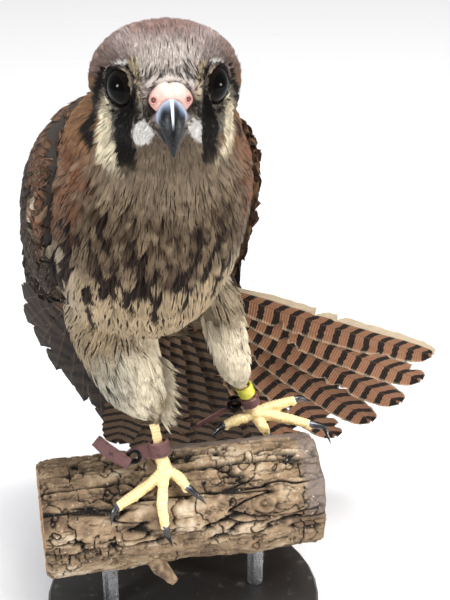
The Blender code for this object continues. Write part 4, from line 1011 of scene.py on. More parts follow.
shafted = mixed(web, shaft_mask, rimmed, rgba(SHAFT_BROWN))
# Painted shade: the barbs are lighter on their ridges and darker in their grooves, in step with the bump,
# over a random tone.
barb_shade_and_tone = maths(web, "MULTIPLY_ADD", barb_wave, 0.10, maths(web, "MULTIPLY_ADD", unsteady, 0.5, 0.5))
barb_grey = add_node(web, "ShaderNodeCombineColor", {n: barb_shade_and_tone for n in range(3)}).outputs[0]
web.links.new(mixed(web, 0.55, shafted, barb_grey, "SOFT_LIGHT"), leaving.inputs["Colour"])
web.links.new(plus(barb_wave, times(shaft_mask, 3.0)), leaving.inputs["Height"])


def feather_finish(name, barbs, rim_colour, roughness, sheen, depth, slant=0.22, bar_share=0.4,
                   rim_start=0.45):
    """A feather's material: the web group fed by the vane map and each feather's own colours."""
    made, tree, shader = new_finish(name, roughness, sheen=sheen, specular=0.1)
    vane = add_node(tree, "ShaderNodeUVMap", uv_map="Vane").outputs[0]
    place = add_node(tree, "ShaderNodeSeparateXYZ", {0: vane}).outputs
    tint, mark, pattern = (read_colours(tree, key) for key in ("tint", "mark", "pattern"))
    parts = add_node(tree, "ShaderNodeSeparateColor", {0: pattern["Color"]}).outputs
    woven = add_node(tree, "ShaderNodeGroup", {
        "Across": place[0], "Along": place[1], "Tint": tint["Color"], "Mark": mark["Color"],
        "Streak": parts[0], "Bars": parts[1], "Rim": parts[2], "Seed": tint["Alpha"],
        "Bar Count": maths(tree, "MULTIPLY", mark["Alpha"], float(MOST_BARS)),
        "Pale Edge": maths(tree, "SUBTRACT", 1.0, pattern["Alpha"]), "Rim Colour": rgba(rim_colour),
        "Barb Count": barbs, "Slant": slant, "Bar Share": bar_share, "Rim Start": rim_start},
        node_tree=web).outputs
    feed(tree, shader, woven["Colour"], None, woven["Height"], depth)
    return made


coat_finish = feather_finish("body_feather", 14.0, THIGH_CREAM, 0.7, 0.04, 0.00006)


def coat_sizes(points):
    """Length and width of the feathers that grow at points of the skin."""
    on_head = headness(points)
    from_bill = np.linalg.norm(points - head_place(14.0, 0.0, -1.0), axis=1)
    face = smooth_step(from_bill, 3.0, 34.0)
    length = 2.6 + 5.4 * face
    width = 0.6 + 1.1 * face
    for side in (1, -1):
        off = np.linalg.norm(points - eye_middle(side), axis=1)
        small = 0.45 + 0.55 * smooth_step(off, 7.0, 11.0)
        length, width = length * small, width * small
    down, _ = round_trunk(points)
    deep = smooth_step(down, 8.0, 60.0)
    low = 1 - smooth_step(points[:, 2], 40.0, 84.0)
    body_length = 9.0 + 5.0 * deep - 7.0 * low
    body_width = 2.2 + 1.5 * deep - 1.8 * low
    return length * on_head + body_length * (1 - on_head), width * on_head + body_width * (1 - on_head)


def sow(points, faces, outs, maps, sizes, cover, draw):
    """Scatters roots evenly over a form: their places, the way out and their places on its map."""
    corners = points[faces]
    one, other = corners[:, 2] - corners[:, 0], corners[:, 3] - corners[:, 1]
    areas = 0.5 * np.linalg.norm(np.cross(one, other), axis=1)
    lengths, widths = sizes(corners.mean(axis=1))
    wanted = areas * cover / (lengths * widths)
    copies = np.floor(wanted + draw.uniform(0, 1, len(wanted))).astype(int)
    rooted = np.repeat(np.arange(len(faces)), copies)
    s, t = draw.uniform(0, 1, (2, len(rooted), 1))

    def on_face(c):
        return c[:, 0] * (1 - s) * (1 - t) + c[:, 1] * s * (1 - t) + c[:, 2] * s * t + c[:, 3] * (1 - s) * t

    return on_face(corners[rooted]), unit(on_face(outs[faces][rooted])), on_face(maps[rooted])


def form_parts(obj):
    """Points, four-cornered faces, normals and face maps of a remeshed form."""
    mesh = obj.data
    faces = np.empty(len(mesh.polygons) * 4, np.int32)
    mesh.polygons.foreach_get("vertices", faces)
    maps = np.empty(len(mesh.loops) * 2, np.float32)
    mesh.uv_layers["OFBake"].data.foreach_get("uv", maps)
    return points_of(obj), faces.reshape(-1, 4), vertex_values(obj, "normal"), maps.reshape(-1, 4, 2)


def feather_looks(tints, seeds, mark, bar_count=2.0, streak=0.0, bars=0.0, rim=0.0):
    """Each feather's colour and seed, its mark and bar count, and its shares of streak, bars and rim."""
    whole = np.ones(len(tints))
    marks = linear(mark) if np.ndim(mark) == 1 else mark
    return {"tint": np.column_stack((tints, whole * seeds)),
            "mark": np.column_stack((whole[:, None] * marks, whole * bar_count / MOST_BARS)),
            "pattern": np.column_stack((whole * streak, whole * bars, whole * rim, whole))}


draw = np.random.default_rng(4)
skin_points, skin_faces, skin_out, skin_maps = form_parts(skin)
skin_tree = tree_of(skin_points, skin_faces)
roots, out_at, bakes = sow(skin_points, skin_faces, skin_out, skin_maps, coat_sizes, COVER, draw)
clear = np.ones(len(roots), bool)
for side in (1, -1):
    clear &= np.linalg.norm(roots - eye_middle(side), axis=1) > EYE_CLEAR
forward, left, up = in_head(roots)
under_cere = (np.abs(left) < 5.0) & (up < 5.0 - 0.3 * (forward - 12.0)) & (up > -4.0)
under_bill = (np.abs(left) < 3.4) & (up <= -4.0) & (up > -7.5)
clear &= ~((forward > 12.4) & (under_cere | under_bill))
roots, out_at, bakes = roots[clear], out_at[clear], bakes[clear]
lies = lie_of_coat(roots, out_at)
swing = draw.normal(0, 0.10, len(roots))[:, None]
lies = unit(lies + swing * np.cross(lies, out_at))
lengths, widths = coat_sizes(roots)
lengths = lengths * draw.uniform(0.8, 1.2, len(roots))
widths = widths * draw.uniform(0.85, 1.15, len(roots))
heights = coat_depth(roots) * draw.uniform(0.8, 1.08, len(roots))
right_off, right_place = along_line(roots, THIGHS["right"])[1:]
fringe = smooth_step(out_at[:, 0], 0.0, 0.6) * smooth_step(right_place, 0.35, 0.6) * (right_off < 1.5)
lengths = lengths + 5.0 * fringe
heights = heights + fringe * draw.uniform(0.2, 2.6, len(roots))
lies = unit(lies + fringe[:, None] * (0.4, -0.1, 0.0))
tips = roots + out_at * heights[:, None] + lies * (lengths * 0.75)[:, None]
colours, streak, bars = plumage(tips)
light = np.exp(draw.normal(0.0, 0.11 + 0.09 * headness(roots), len(roots)))[:, None]
light = np.where(colours.min(axis=1, keepdims=True) > 0.8, np.maximum(light, 0.96), light)
streaked = streak > draw.uniform(0.4, 0.6, len(roots))
streak_tints = linear(STREAK_BROWN) * draw.uniform(0.8, 1.5, len(roots))[:, None]
tints = np.where(streaked[:, None], streak_tints, colours * light)
darker = np.where(headness(roots)[:, None] > 0.5, colours * 0.32, linear(STREAK_BROWN))
shaft = np.where(headness(roots) > 0.5, 0.24, 0.18) * (draw.uniform(0, 1, len(roots)) < 0.4)
white = colours.min(axis=1) > 0.8
shaft = np.where((bars > 0.5) | (roots[:, 2] < 80) | white, 0.0, shaft)
darker = np.where(bars[:, None] > 0.5, linear(BAR_BLACK), darker)
barred = bars > 0.5
looks = feather_looks(tints, draw.uniform(0, 1, len(roots)), darker, 2.0, shaft, barred, 0.25 * barred)
forward, _, up = in_head(roots)
lores = smooth_step(forward, 9.0, 12.5) * (up > -4.5)
bristle = draw.uniform(0, 1, len(roots)) < 0.04 + 0.36 * lores * (1 - smooth_step(up, 5.0, 8.0))
bristle &= (forward > 6.0) & ~white
widths = np.where(bristle, 0.28, widths)
lengths = np.where(bristle, lengths * 1.25, lengths)
heights = np.where(bristle, heights + draw.uniform(0.1, 0.5, len(roots)), heights)
looks["tint"][bristle, :3] *= 0.22
coat_areas = {"head": headness(roots) > 0.5}
thigh_off = np.minimum(along_line(roots, THIGHS["right"])[1], along_line(roots, THIGHS["left"])[1])
coat_areas["thighs"] = (thigh_off < 1.5) & (roots[:, 2] < 84) & ~coat_areas["head"]
coat_areas["body"] = ~(coat_areas["head"] | coat_areas["thighs"])
for area, inside in coat_areas.items():
    kind = "tuft" if area == "head" else "contour"
    most = COAT_LIMIT // len(SHAPES[kind][0][1])
    rows = np.flatnonzero(inside)
    rows = rows[np.argsort(roots[rows, 2])]
    for number, part in enumerate(np.array_split(rows, math.ceil(len(rows) / most)), 1):
        heap = new_heap()
        lay_feathers(heap, skin_tree, kind, roots[part], lies[part], bakes[part], lengths[part],
                     widths[part], heights[part], {key: value[part] for key, value in looks.items()}, draw)
        make_coat(f"coat_{area}_{number}", heap, coat_finish, "head_feather" if area == "head" else
                  "pale_feather" if area == "thighs" else "breast_feather")


# The thigh fringe: soft pale plumes that stand out loosely from the inner side of the right thigh.
FRINGE_FROM, FRINGE_TO = (-8.0, -9.0, 66.0), (-7.2, -8.5, 47.0)
FRINGE_WAY = (0.70, -0.18, -0.69)
FRINGE_COUNT = 240

draw = np.random.default_rng(9)
share = draw.uniform(0, 1, (FRINGE_COUNT, 1))
roots = np.array(FRINGE_FROM) * (1 - share) + np.array(FRINGE_TO) * share
roots = roots + draw.normal(0, 0.9, (FRINGE_COUNT, 3))
sheet = [np.array((-7.0, -8.0, 56.0)) + np.array((x, -0.26 * x + 0.1 * z, z)) for x, z in
         ((-40, -40), (40, -40), (40, 40), (-40, 40))]
lies = unit(np.array(FRINGE_WAY) + draw.normal(0, 0.16, (FRINGE_COUNT, 3)))
light = draw.normal(1.0, 0.10, (FRINGE_COUNT, 1))
looks = feather_looks(linear(THIGH_CREAM) * light, draw.uniform(0, 1, FRINGE_COUNT), STREAK_BROWN)
plumes = new_heap()
bakes = np.hstack((0.05 + 0.9 * share, 0.5 + 0.05 * (roots[:, :1] + 7.5)))
lay_feathers(plumes, tree_of(sheet, [(0, 1, 2, 3)]), "contour", roots, lies, bakes,
             draw.uniform(6.5, 10.5, FRINGE_COUNT), np.full(FRINGE_COUNT, 1.0),
             draw.uniform(0.4, 2.4, FRINGE_COUNT), looks, draw)
make_coat("coat_thigh_fringe", plumes, coat_finish, "pale_feather")


# The eyes are dark glass under a clear bulging front: a black pupil with a thin, very dark brown
# iris round it. Each sits in a ring of bare dark lid skin with fine folds across it.
EYE_RADIUS, EYE_RINGS, EYE_SIDES = 6.0, 44, 64
EYE_AXIS = (0.64, 0.76, 0.04)
PUPIL_BLACK = (4, 4, 4)
IRIS_BROWN = (17, 12, 9)
LID_FORWARD, LID_REACH, LID_RADIUS, LID_TURNS, LID_SIDES = 2.9, 5.35, 0.75, 120, 16
LID_SKIN = (11, 10, 10)
LID_PALE = (30, 27, 25)


def outwards_first(points, faces):
    """Turns a closed form's faces outwards."""
    volume = 0.0
    for face in faces:
        a, b, c = points[face[0]], points[face[1]], points[face[2]]
        volume += np.dot(a, np.cross(b, c))
        if len(face) == 4:
            volume += np.dot(a, np.cross(c, points[face[3]]))
    return points, faces if volume > 0 else [tuple(face)[::-1] for face in faces]


def closed_form(rings):
    """Points and faces of a closed form over a stack of rings, with its faces turned outwards."""
    return outwards_first(*skin_over(np.asarray(rings)))


def eye_frame(side):
    """Middle of an eye, the way it looks, and the ways across and up it."""
    forward, left, up = EYE_AXIS
    axis = unit(forward * HEAD_FORWARD + side * left * HEAD_LEFT + up * UP)
    across = unit(np.cross(UP, axis))
    return eye_middle(side), axis, across, np.cross(axis, across)


def ring_round(middle, across, high, radius, sides):
    turns = circle(sides)
    return middle + radius * (np.cos(turns)[:, None] * across + np.sin(turns)[:, None] * high)


eye_glass = mottled_finish("eye_glass", 0.04, None, IRIS_BROWN, 2600.0, 0.2, 0.0, specular=0.06)
lid_finish = mottled_finish("lid_skin", 0.7, None, LID_PALE, 2400.0, 0.3, 0.0002, specular=0.15)
for side, word in ((1, "left"), (-1, "right")):
    middle, axis, across, high = eye_frame(side)
    polars = np.linspace(0.01, math.pi - 0.01, EYE_RINGS)
    bulge = EYE_RADIUS + 0.3 * np.exp(-((polars / 0.45) ** 2)) - 0.03
    rings = np.array([ring_round(middle + axis * r * math.cos(p), across, high, r * math.sin(p), EYE_SIDES)
                      for p, r in zip(polars, bulge)])
    points, faces = skin_over(rings)
    ball = add_mesh(f"eyeball_{word}", points, faces, eye_glass)
    from_front = np.repeat(polars, EYE_SIDES)
    fibre = np.tile(np.arange(EYE_SIDES), EYE_RINGS)
    fibres = 0.75 + 0.5 * scatter_value(np.stack((fibre, fibre, fibre), -1), 3)
    iris = smooth_step(from_front, 0.60, 0.66) * (1 - smooth_step(from_front, 0.95, 1.1)) * fibres
    add_colours(ball, "shade", toward(evenly(PUPIL_BLACK, points), IRIS_BROWN, iris))
    place_piece(ball, "eye_dark", f"eye_{word}")
    turns = circle(LID_TURNS)
    fold = 1.0 + 0.07 * np.cos(turns * 23) + 0.05 * np.cos(turns * 37 + 1)
    rings = []
    for turn, swell in zip(turns, fold):
        out = math.cos(turn) * across + math.sin(turn) * high
        rings.append(ring_round(middle + axis * LID_FORWARD + out * LID_REACH, out, axis,
                                LID_RADIUS * swell, LID_SIDES))
    rings = np.array(rings)
    i, j = np.meshgrid(np.arange(LID_TURNS), np.arange(LID_SIDES), indexing="ij")
    row, next_row, k = i * LID_SIDES, (i + 1) % LID_TURNS * LID_SIDES, (j + 1) % LID_SIDES
    quads = np.stack((row + j, next_row + j, next_row + k, row + k), -1).reshape(-1, 4)
    lid = add_mesh(f"lid_{word}", rings.reshape(-1, 3), quads, lid_finish)
    paler = np.repeat(0.5 + 0.5 * np.cos(turns * 23), LID_SIDES) * 0.4
    add_colours(lid, "shade", toward(evenly(LID_SKIN, paler), LID_PALE, paler))
    place_piece(lid, "head_feather")


# A ring of tiny feathers edges each eye and hides the outside of the lid: black below and behind,
# buff on the bill side and white over the top. They flow back round the eye.
FRINGE_REACH = 6.75
FRINGE_ROWS = ((56.0, 60), (62.0, 68), (69.0, 76), (77.0, 84), (86.0, 92))
TUFT_LENGTH, TUFT_WIDTH = (1.5, 2.3), 0.5

for side, word in ((1, "left"), (-1, "right")):
    draw = np.random.default_rng(50 + side)
    middle, axis, across, high = eye_frame(side)
    polars = np.linspace(0.02, math.pi - 0.02, 40)
    shell = tree_of(*closed_form([ring_round(middle + axis * FRINGE_REACH * math.cos(p), across, high,
                                             FRINGE_REACH * math.sin(p), 60) for p in polars]))
    back = unit((HEAD_FORWARD @ axis) * axis - HEAD_FORWARD)
    turns, tilts = [], []
    for tilt, number in FRINGE_ROWS:
        turns.append(circle(number) + draw.normal(0, 0.03, number))
        tilts.append(np.radians(tilt) + draw.normal(0, 0.03, number))
    turns, tilts = np.concatenate(turns)[:, None], np.concatenate(tilts)[:, None]
    spokes = np.cos(turns) * across + np.sin(turns) * high
    outs = np.cos(tilts) * axis + np.sin(tilts) * spokes
    roots = middle + outs * FRINGE_REACH
    onward = (spokes @ back)[:, None]
    round_way = np.cross(axis, spokes)
    round_way = round_way * np.sign(round_way @ back)[:, None]
    lies = back - onward * spokes + np.maximum(onward, -0.35) * spokes + 0.3 * round_way
    lies = unit(lies + draw.normal(0, 0.12, lies.shape))
    rise, behind = spokes @ high, onward[:, 0]
    bill_side = smooth_step(-behind, 0.15, 0.5) * smooth_step(rise, -0.1, 0.3)
    tints = toward(evenly(MOUSTACHE_BLACK, roots), BROW_BUFF, bill_side)
    top = smooth_step(rise, 0.55, 0.75) * smooth_step(behind, -0.45, -0.15) * (tilts[:, 0] > 1.2)
    tints = toward(tints, CHEEK_WHITE, top)
    looks = feather_looks(tints * draw.normal(1.0, 0.12, (len(roots), 1)), 0.5, MOUSTACHE_BLACK)
    tufts = new_heap()
    bakes = 0.5 + 0.3 * tilts * np.hstack((np.cos(turns), np.sin(turns)))
    lay_feathers(tufts, shell, "tuft", roots, lies, bakes,
                 draw.uniform(*TUFT_LENGTH, len(roots)), np.full(len(roots), TUFT_WIDTH),
                 draw.uniform(0.15, 0.5, len(roots)), looks, draw)
    make_coat(f"coat_eye_{word}", tufts, coat_finish, "head_feather")


# The cere is the swollen bare skin over the root of the bill, pinkish white, with a round nostril
# in each lobe that has a low rim and a small bony peg inside. Below it the gape is grey-purple.
CERE_ROWS = (
    (12, 5.4, 12, -3.2, 5.6),
    (14.2, 4.7, 14.2, -3.2, 5.3),
    (16.2, 3.6, 16.2, -2.9, 4.6),
    (17.7, 2.2, 17.6, -2.6, 3.3),
)
CERE_LOBE = (15.2, 3.6, 0.9, 1.95)
NOSTRIL = (16.2, 4.15, 1.2)
CERE_PINK = (192, 150, 140)
CERE_WHITE = (206, 188, 180)
CERE_RIM = (176, 118, 108)
NOSTRIL_DARK = (112, 60, 52)


def bill_rings(rows, count, sides, squeeze=0.18):
    """Rings between a ridge line and a cutting edge, narrower at the ridge than below."""
    rows = spline(rows, count)
    turns = circle(sides)
    high = 0.5 + 0.5 * np.sin(turns)
    forward = rows[:, None, 2] + (rows[:, None, 0] - rows[:, None, 2]) * high
    up = rows[:, None, 3] + (rows[:, None, 1] - rows[:, None, 3]) * high
    wide = rows[:, None, 4] * np.cos(turns) * (1.0 - squeeze * np.sin(turns))
    return head_place(forward, wide, up)


def ball_form(middle, radius, sides=24):
    polars = np.linspace(0.05, math.pi - 0.05, sides // 2)
    rings = [ring_round(middle + UP * radius * math.cos(p), np.array((1.0, 0, 0)), np.array((0, 1.0, 0)),
                        radius * math.sin(p), sides) for p in polars]
    return skin_over(np.array(rings)[::-1])


forward, left, up, radius = CERE_LOBE
shells = [skin_over(bill_rings(CERE_ROWS, 24, 48, 0.05))]
shells += [ball_form(head_place(forward, side * left, up), radius) for side in (1, -1)]
cere = grown_together("cere_flesh", *joined(shells), 0.24, 6)
points, normals = points_of(cere), vertex_values(cere, "normal")
_, left, up = in_head(points)
whiter = smooth_step(up, 1.0, 4.5) + 0.3 * soft_noise(points, 1.2, 5)
shades = toward(evenly(CERE_PINK, points), CERE_WHITE, whiter)
shades = toward(shades, CERE_RIM, 0.5 * smooth_step(-up, 0.8, 2.6))
for side in (1, -1):
    middle = head_place(NOSTRIL[0], side * NOSTRIL[1], NOSTRIL[2])
    facing = unit(0.80 * HEAD_FORWARD + side * 0.52 * HEAD_LEFT + 0.30 * UP)
    off = points - middle
    reach = np.linalg.norm(off - np.outer(off @ facing, facing), axis=1)
    near = (np.abs(off @ facing) < 2.2) & (normals @ facing > -0.2)
    pit = near * (1 - smooth_step(reach, 0.45, 0.80))
    peg = near * (1 - smooth_step(reach, 0.16, 0.30))
    rim = near * np.exp(-(((reach - 0.98) / 0.26) ** 2))
    points = points + facing * (0.17 * rim - 1.0 * pit + 0.75 * peg)[:, None]
    shades = toward(shades, CERE_RIM, 0.75 * rim)
    # Painted shade: the nostril's pit is coloured dark, less so on its peg.
    shades = toward(shades, NOSTRIL_DARK, pit * (1 - 0.6 * peg))
valley = np.exp(-((left / 0.9) ** 2)) * smooth_step(up, 0.0, 2.5)
points = points - normals * (0.55 * valley)[:, None]
pores = 0.05 * soft_noise(points, 0.7, 6) + 0.03 * soft_noise(points, 0.35, 7)
points = points + normals * pores[:, None]
move_points(cere, points)
add_colours(cere, "shade", shades)
cere.data.materials.append(mottled_finish("cere_skin", 0.42, None, CERE_RIM, 1400.0, 0.12, 0.00012,
                                          coat=0.15, under_skin=0.12))
place_piece(cere, "cere_skin", "cere")


# The bill is polished horn: a short deep hook with a notched cutting edge, blue-grey at the root
# and black at the tip, marked by fine growth lines, over a short scoop of a lower bill.
UPPER_ROWS = (
    (14.6, -2, 13, -5.6, 5.2),
    (16.2, -1, 14.6, -5.9, 4.7),
    (17.6, 1.2, 15.9, -6.1, 4.1),
    (18.4, 2, 16.8, -6.2, 3.55),
    (20.2, 1, 18.6, -6.5, 3.2),
    (22, -1, 20.2, -7, 2.9),
    (23.2, -3.8, 21, -7.7, 2.35),
    (23.7, -6.8, 21.4, -9.2, 1.55),
    (23.5, -9.3, 22, -10.6, 0.9),
    (22.9, -11.4, 22.5, -11.5, 0.35),
)
LOWER_ROWS = ((12.6, -7.6, 4.6, 1.3), (15.4, -7.9, 3.7, 1.4), (18.2, -8.4, 2.7, 1.2),
              (20, -8.9, 1.5, 0.7))
HORN_BLUE = (176, 188, 204)
HORN_GREY = (96, 110, 134)
HORN_BLACK = (8, 9, 12)
GAPE_PURPLE = (104, 92, 98)
# Painted highlight: the pale line along the bill's ridge stands in for the lamp's glint.
RIDGE_HIGHLIGHT_WHITE = (226, 234, 242)
HORN_YELLOW = (110, 104, 98)

SIDES, STATIONS = 72, 90
LOWER_SIDES, LOWER_STATIONS = 48, 40

horn = mottled_finish("bill_horn", 0.3, None, HORN_GREY, 1500.0, 0.10, 0.00005, (0.22, 0.34), specular=0.25)
rings = bill_rings(UPPER_ROWS, STATIONS, SIDES)
along = np.repeat(np.linspace(0, 1, STATIONS), SIDES)
turn = np.tile(circle(SIDES), STATIONS)
points, faces = skin_over(rings)
inwards = unit(np.repeat(rings.mean(axis=1), SIDES, axis=0) - points)
edge = np.clip(-np.sin(turn), 0, 1) ** 3
tooth = np.exp(-(((along - 0.66) / 0.035) ** 2)) - 1.3 * np.exp(-(((along - 0.735) / 0.035) ** 2))
points = points - UP * (0.55 * tooth * edge * (np.abs(np.cos(turn)) > 0.15))[:, None]
points = points + inwards * (0.018 * np.cos(along * 150) * (1 - along))[:, None]
bill = add_mesh("upper_bill", points, faces, horn)
low = smooth_step(-np.sin(turn), -0.2, 0.9)
dark = smooth_step(along + 0.10 * low + 0.03 * np.cos(turn * 5), 0.36, 0.52)
shades = toward(evenly(HORN_BLUE, points), HORN_GREY, smooth_step(along, 0.24, 0.5))
shades = toward(shades, HORN_BLACK, dark)
sideways = smooth_step(np.abs(np.cos(turn)), 0.5, 0.8)
shades = toward(shades, GAPE_PURPLE, (1 - smooth_step(along, 0.24, 0.36)) * sideways)
# Painted highlight: a pale line along the top of the ridge, where the glint runs.
ridge_highlight = (np.abs(np.cos(turn)) < 0.1) * (np.sin(turn) > 0)
ridge_highlight = ridge_highlight * smooth_step(along, 0.2, 0.3) * (1 - smooth_step(along, 0.55, 0.7))
shades = toward(shades, RIDGE_HIGHLIGHT_WHITE, ridge_highlight)
shades = shades * (1 + 0.10 * np.cos(along * 150))[:, None]
add_colours(bill, "shade", shades)
place_piece(bill, "bill_horn", "bill_upper")
rows = spline(LOWER_ROWS, LOWER_STATIONS)
turns = circle(LOWER_SIDES)
trough = np.minimum(np.sin(turns), 0.35 - 0.25 * (1 - np.abs(np.cos(turns))))
rings = head_place(np.repeat(rows[:, :1], LOWER_SIDES, 1), rows[:, 2:3] * np.cos(turns),
                   rows[:, 1:2] + rows[:, 3:4] * trough)
points, faces = skin_over(rings)
jaw = add_mesh("lower_bill", points, faces, horn)
along = np.repeat(np.linspace(0, 1, LOWER_STATIONS), LOWER_SIDES)
shades = toward(evenly(HORN_YELLOW, points), HORN_BLACK, 0.6 * smooth_step(along, 0.1, 0.5))
add_colours(jaw, "shade", toward(shades, HORN_BLACK, smooth_step(along, 0.5, 0.95)))
place_piece(jaw, "bill_horn", "bill_lower")


# The wings are folded, the right one hanging. Flight feathers grow from the hand and forearm, each a
# stiff vane on a pale shaft; tiers of coverts lie over their roots, smallest on the front edge.
VANE_STATIONS, VANE_COLUMNS, VANE_THICKNESS = 56, 9, 0.34
RIGHT_WING = {
    "side": -1,
    "leading_edge": ((-22, -8, 141, 5), (-35.5, -15.5, 138, 5), (-45, -9, 112, 4.2),
                     (-45, 0, 88, 3.2), (-38.5, 16, 76, 2.8), (-30, 27.5, 69, 2)),
    "forearm": ((-44, 2, 96), (-41, 10, 118), (-32, 22, 126)),
    "hand": ((-29, 28, 68.5), (-38, 17, 77), (-44, 3, 90)),
    "primary_tips": ((-35, 78, -14), (-42.5, 75, -2), (-46.5, 73, 7), (-52, 69, 16.5),
                     (-57, 66.5, 29), (-61, 64, 41), (-61, 61, 53), (-59, 58, 62),
                     (-57, 55, 70), (-54, 53, 76)),
    "secondary_tips": ((-52, 53, 80), (-42, 56, 78), (-28, 61, 72)),
    "lean": 11,
}
LEFT_WING = {
    "side": 1,
    "leading_edge": ((8, -5, 140, 5), (17, -2, 134, 5), (21.5, 7, 113, 4),
                     (19.5, 17, 92, 2.6)),
    "forearm": ((17, 2, 136), (14, 16, 132), (3, 30, 122)),
    "hand": ((19.5, 17, 92), (21, 9, 112), (17.5, 1, 132)),
    "primary_tips": ((8, 122, -4), (4, 116, 12), (0, 106, 31), (-1, 96, 47),
                     (2, 84, 61)),
    "secondary_tips": ((6, 74, 70), (0, 70, 72), (-8, 64, 72)),
    "lean": -11,
}
PRIMARIES, SECONDARIES = 10, 6
# Each tier of long coverts: its share of the feather's length, its width and how far it lies above.
COVERT_TIERS = ((0.42, 9.5, 1.0), (0.27, 8.0, 1.7), (0.17, 7.0, 2.3))
TIER_RISE = {-1: 0.3, 1: -0.9}
PAD_MIDDLE, PAD_REACH = math.radians(32), math.radians(54)
PAD_PLACES = (0.26, 0.80)
PAD_THICKNESS = 4.5
PAD_ROWS, PAD_COLUMNS = 22, 24
EDGE_REACH = {-1: 9.0, 1: 16.0}
WING_DRAWN_IN = {-1: 1.3, 1: 4.2}
COVERT_COVER, COVERT_RISE = 5.0, {-1: 1.1, 1: 0.5}
# How far left the strip of painted shade on the right wing's front edge starts and ends, and the flank over
# it.
SHADE_STRIP_EDGE, FLANK_EDGE = (-39.0, -36.8), (-38.4, -36.8)
PRIMARY_BROWN = (50, 40, 33)
PRIMARY_DARK = (24, 19, 16)
FRINGE_PALE = (138, 122, 100)
SECONDARY_RUFOUS = (112, 78, 54)
COVERT_RUFOUS = (94, 69, 52)
# Painted light: the dark is the right wing's coverts in painted shade, the buff the left wing's coverts in
# painted light.
COVERT_DARK_PAINTED_SHADE = (44, 35, 29)
COVERT_BUFF_PAINTED_LIGHT = (160, 124, 92)
PATCH_CREAM = (205, 190, 168)


def blade(root, tip, normal, width, draw, bow, lean, point, start=0.4):
    """A long feather's vane: points with along and across, and its faces, split here and there."""
    root, tip = np.asarray(root, float), np.asarray(tip, float)
    along = unit(tip - root)
    side = unit(np.cross(normal, along))
    out = np.cross(along, side)
    turn = math.radians(lean)
    side, out = math.cos(turn) * side + math.sin(turn) * out, math.cos(turn) * out - math.sin(turn) * side
    u = np.linspace(0, 1, VANE_STATIONS)[:, None]
    v = np.linspace(-1, 1, VANE_COLUMNS)[None]
    rise = start + (1 - start) * np.sin(np.minimum(1.0, u / 0.35) * math.pi / 2)
    taper = np.maximum(0.0, 1 - ((u - 0.72) / 0.28) ** 2) ** (1.2 - 2 * point)
    fall = np.where(u < 0.72, 1.0, point + (1 - point) * taper)
    round_off = np.sqrt(np.maximum(0.0, 1 - np.clip((u - 0.965) / 0.0352, 0, 1) ** 2))
    half = width / 2 * rise * fall * (0.15 + 0.85 * round_off)
    splits = np.ones((VANE_STATIONS, 2))
    for edge in (0, 1):
        for _ in range(draw.integers(1, 4)):
            at = draw.integers(int(0.35 * VANE_STATIONS), VANE_STATIONS - 4)
            splits[at, edge] *= draw.uniform(0.45, 0.75)
            splits[at + 1, edge] *= draw.uniform(0.8, 0.95)
    edge_share = np.where(v < 0, splits[:, :1], splits[:, 1:])
    across = v * half * (1 - (1 - edge_share) * np.abs(v) ** 1.5)
    rough = 1 + 0.03 * draw.normal(0, 1, (VANE_STATIONS, 1)) * (np.abs(v) > 0.9)
    across = across * rough
    droop = -0.05 * width * (v**2)
    middle = root + (tip - root) * u[..., None] + out * (bow * 4 * u * (1 - u))[..., None]
    shaft = np.exp(-((v / 0.10) ** 2)) * (1.0 - 0.7 * u)
    middle = middle + side * across[..., None]
    top = middle + out * (droop + VANE_THICKNESS * (0.25 + 0.75 * (1 - v**2)) + 0.30 * shaft)[..., None]
    low = middle + out * (droop - 0.16 * shaft)[..., None]
    count = VANE_STATIONS * VANE_COLUMNS
    i, j = np.meshgrid(np.arange(VANE_STATIONS - 1), np.arange(VANE_COLUMNS - 1), indexing="ij")
    a = (i * VANE_COLUMNS + j).ravel()
    upper = np.stack((a, a + VANE_COLUMNS, a + VANE_COLUMNS + 1, a + 1), -1)
    rim = np.concatenate((np.arange(VANE_COLUMNS), np.arange(2, VANE_STATIONS) * VANE_COLUMNS - 1,
                          count - 1 - np.arange(VANE_COLUMNS),
                          np.arange(VANE_STATIONS - 2, 0, -1) * VANE_COLUMNS))
    after = np.roll(rim, -1)
    walls = np.stack((rim, after, after + count, rim + count), -1)
    quads = np.vstack((upper, upper[:, ::-1] + count, walls))
    faces = np.vstack((quads[:, [0, 1, 2]], quads[:, [0, 2, 3]]))
    place = np.stack((np.broadcast_to(0.5 + 0.5 * v, across.shape), np.broadcast_to(u, across.shape)), -1)
    return np.vstack((top.reshape(-1, 3), low.reshape(-1, 3))), faces, np.tile(place.reshape(-1, 2), (2, 1))


def add_blade(heap, shape, bake, tint, mark, bar_count, pattern, draw, pale_edge=0.0):
    """Adds one long feather to a heap with its colours and its share of streak, bars and rim."""
    points, faces, vane = shape
    count = len(points)
    light = draw.normal(1.0, 0.06)
    row_tint = np.append(linear(tint) * light, draw.uniform(0, 1))
    row_mark = np.append(linear(mark), bar_count / MOST_BARS)
    baked = np.asarray(bake) + (vane - 0.5) * BAKE_PATCH
    add_to(heap, points, faces, vane, baked, np.tile(row_tint, (count, 1)), np.tile(row_mark, (count, 1)),
           np.tile((*pattern, 1.0 - pale_edge), (count, 1)))


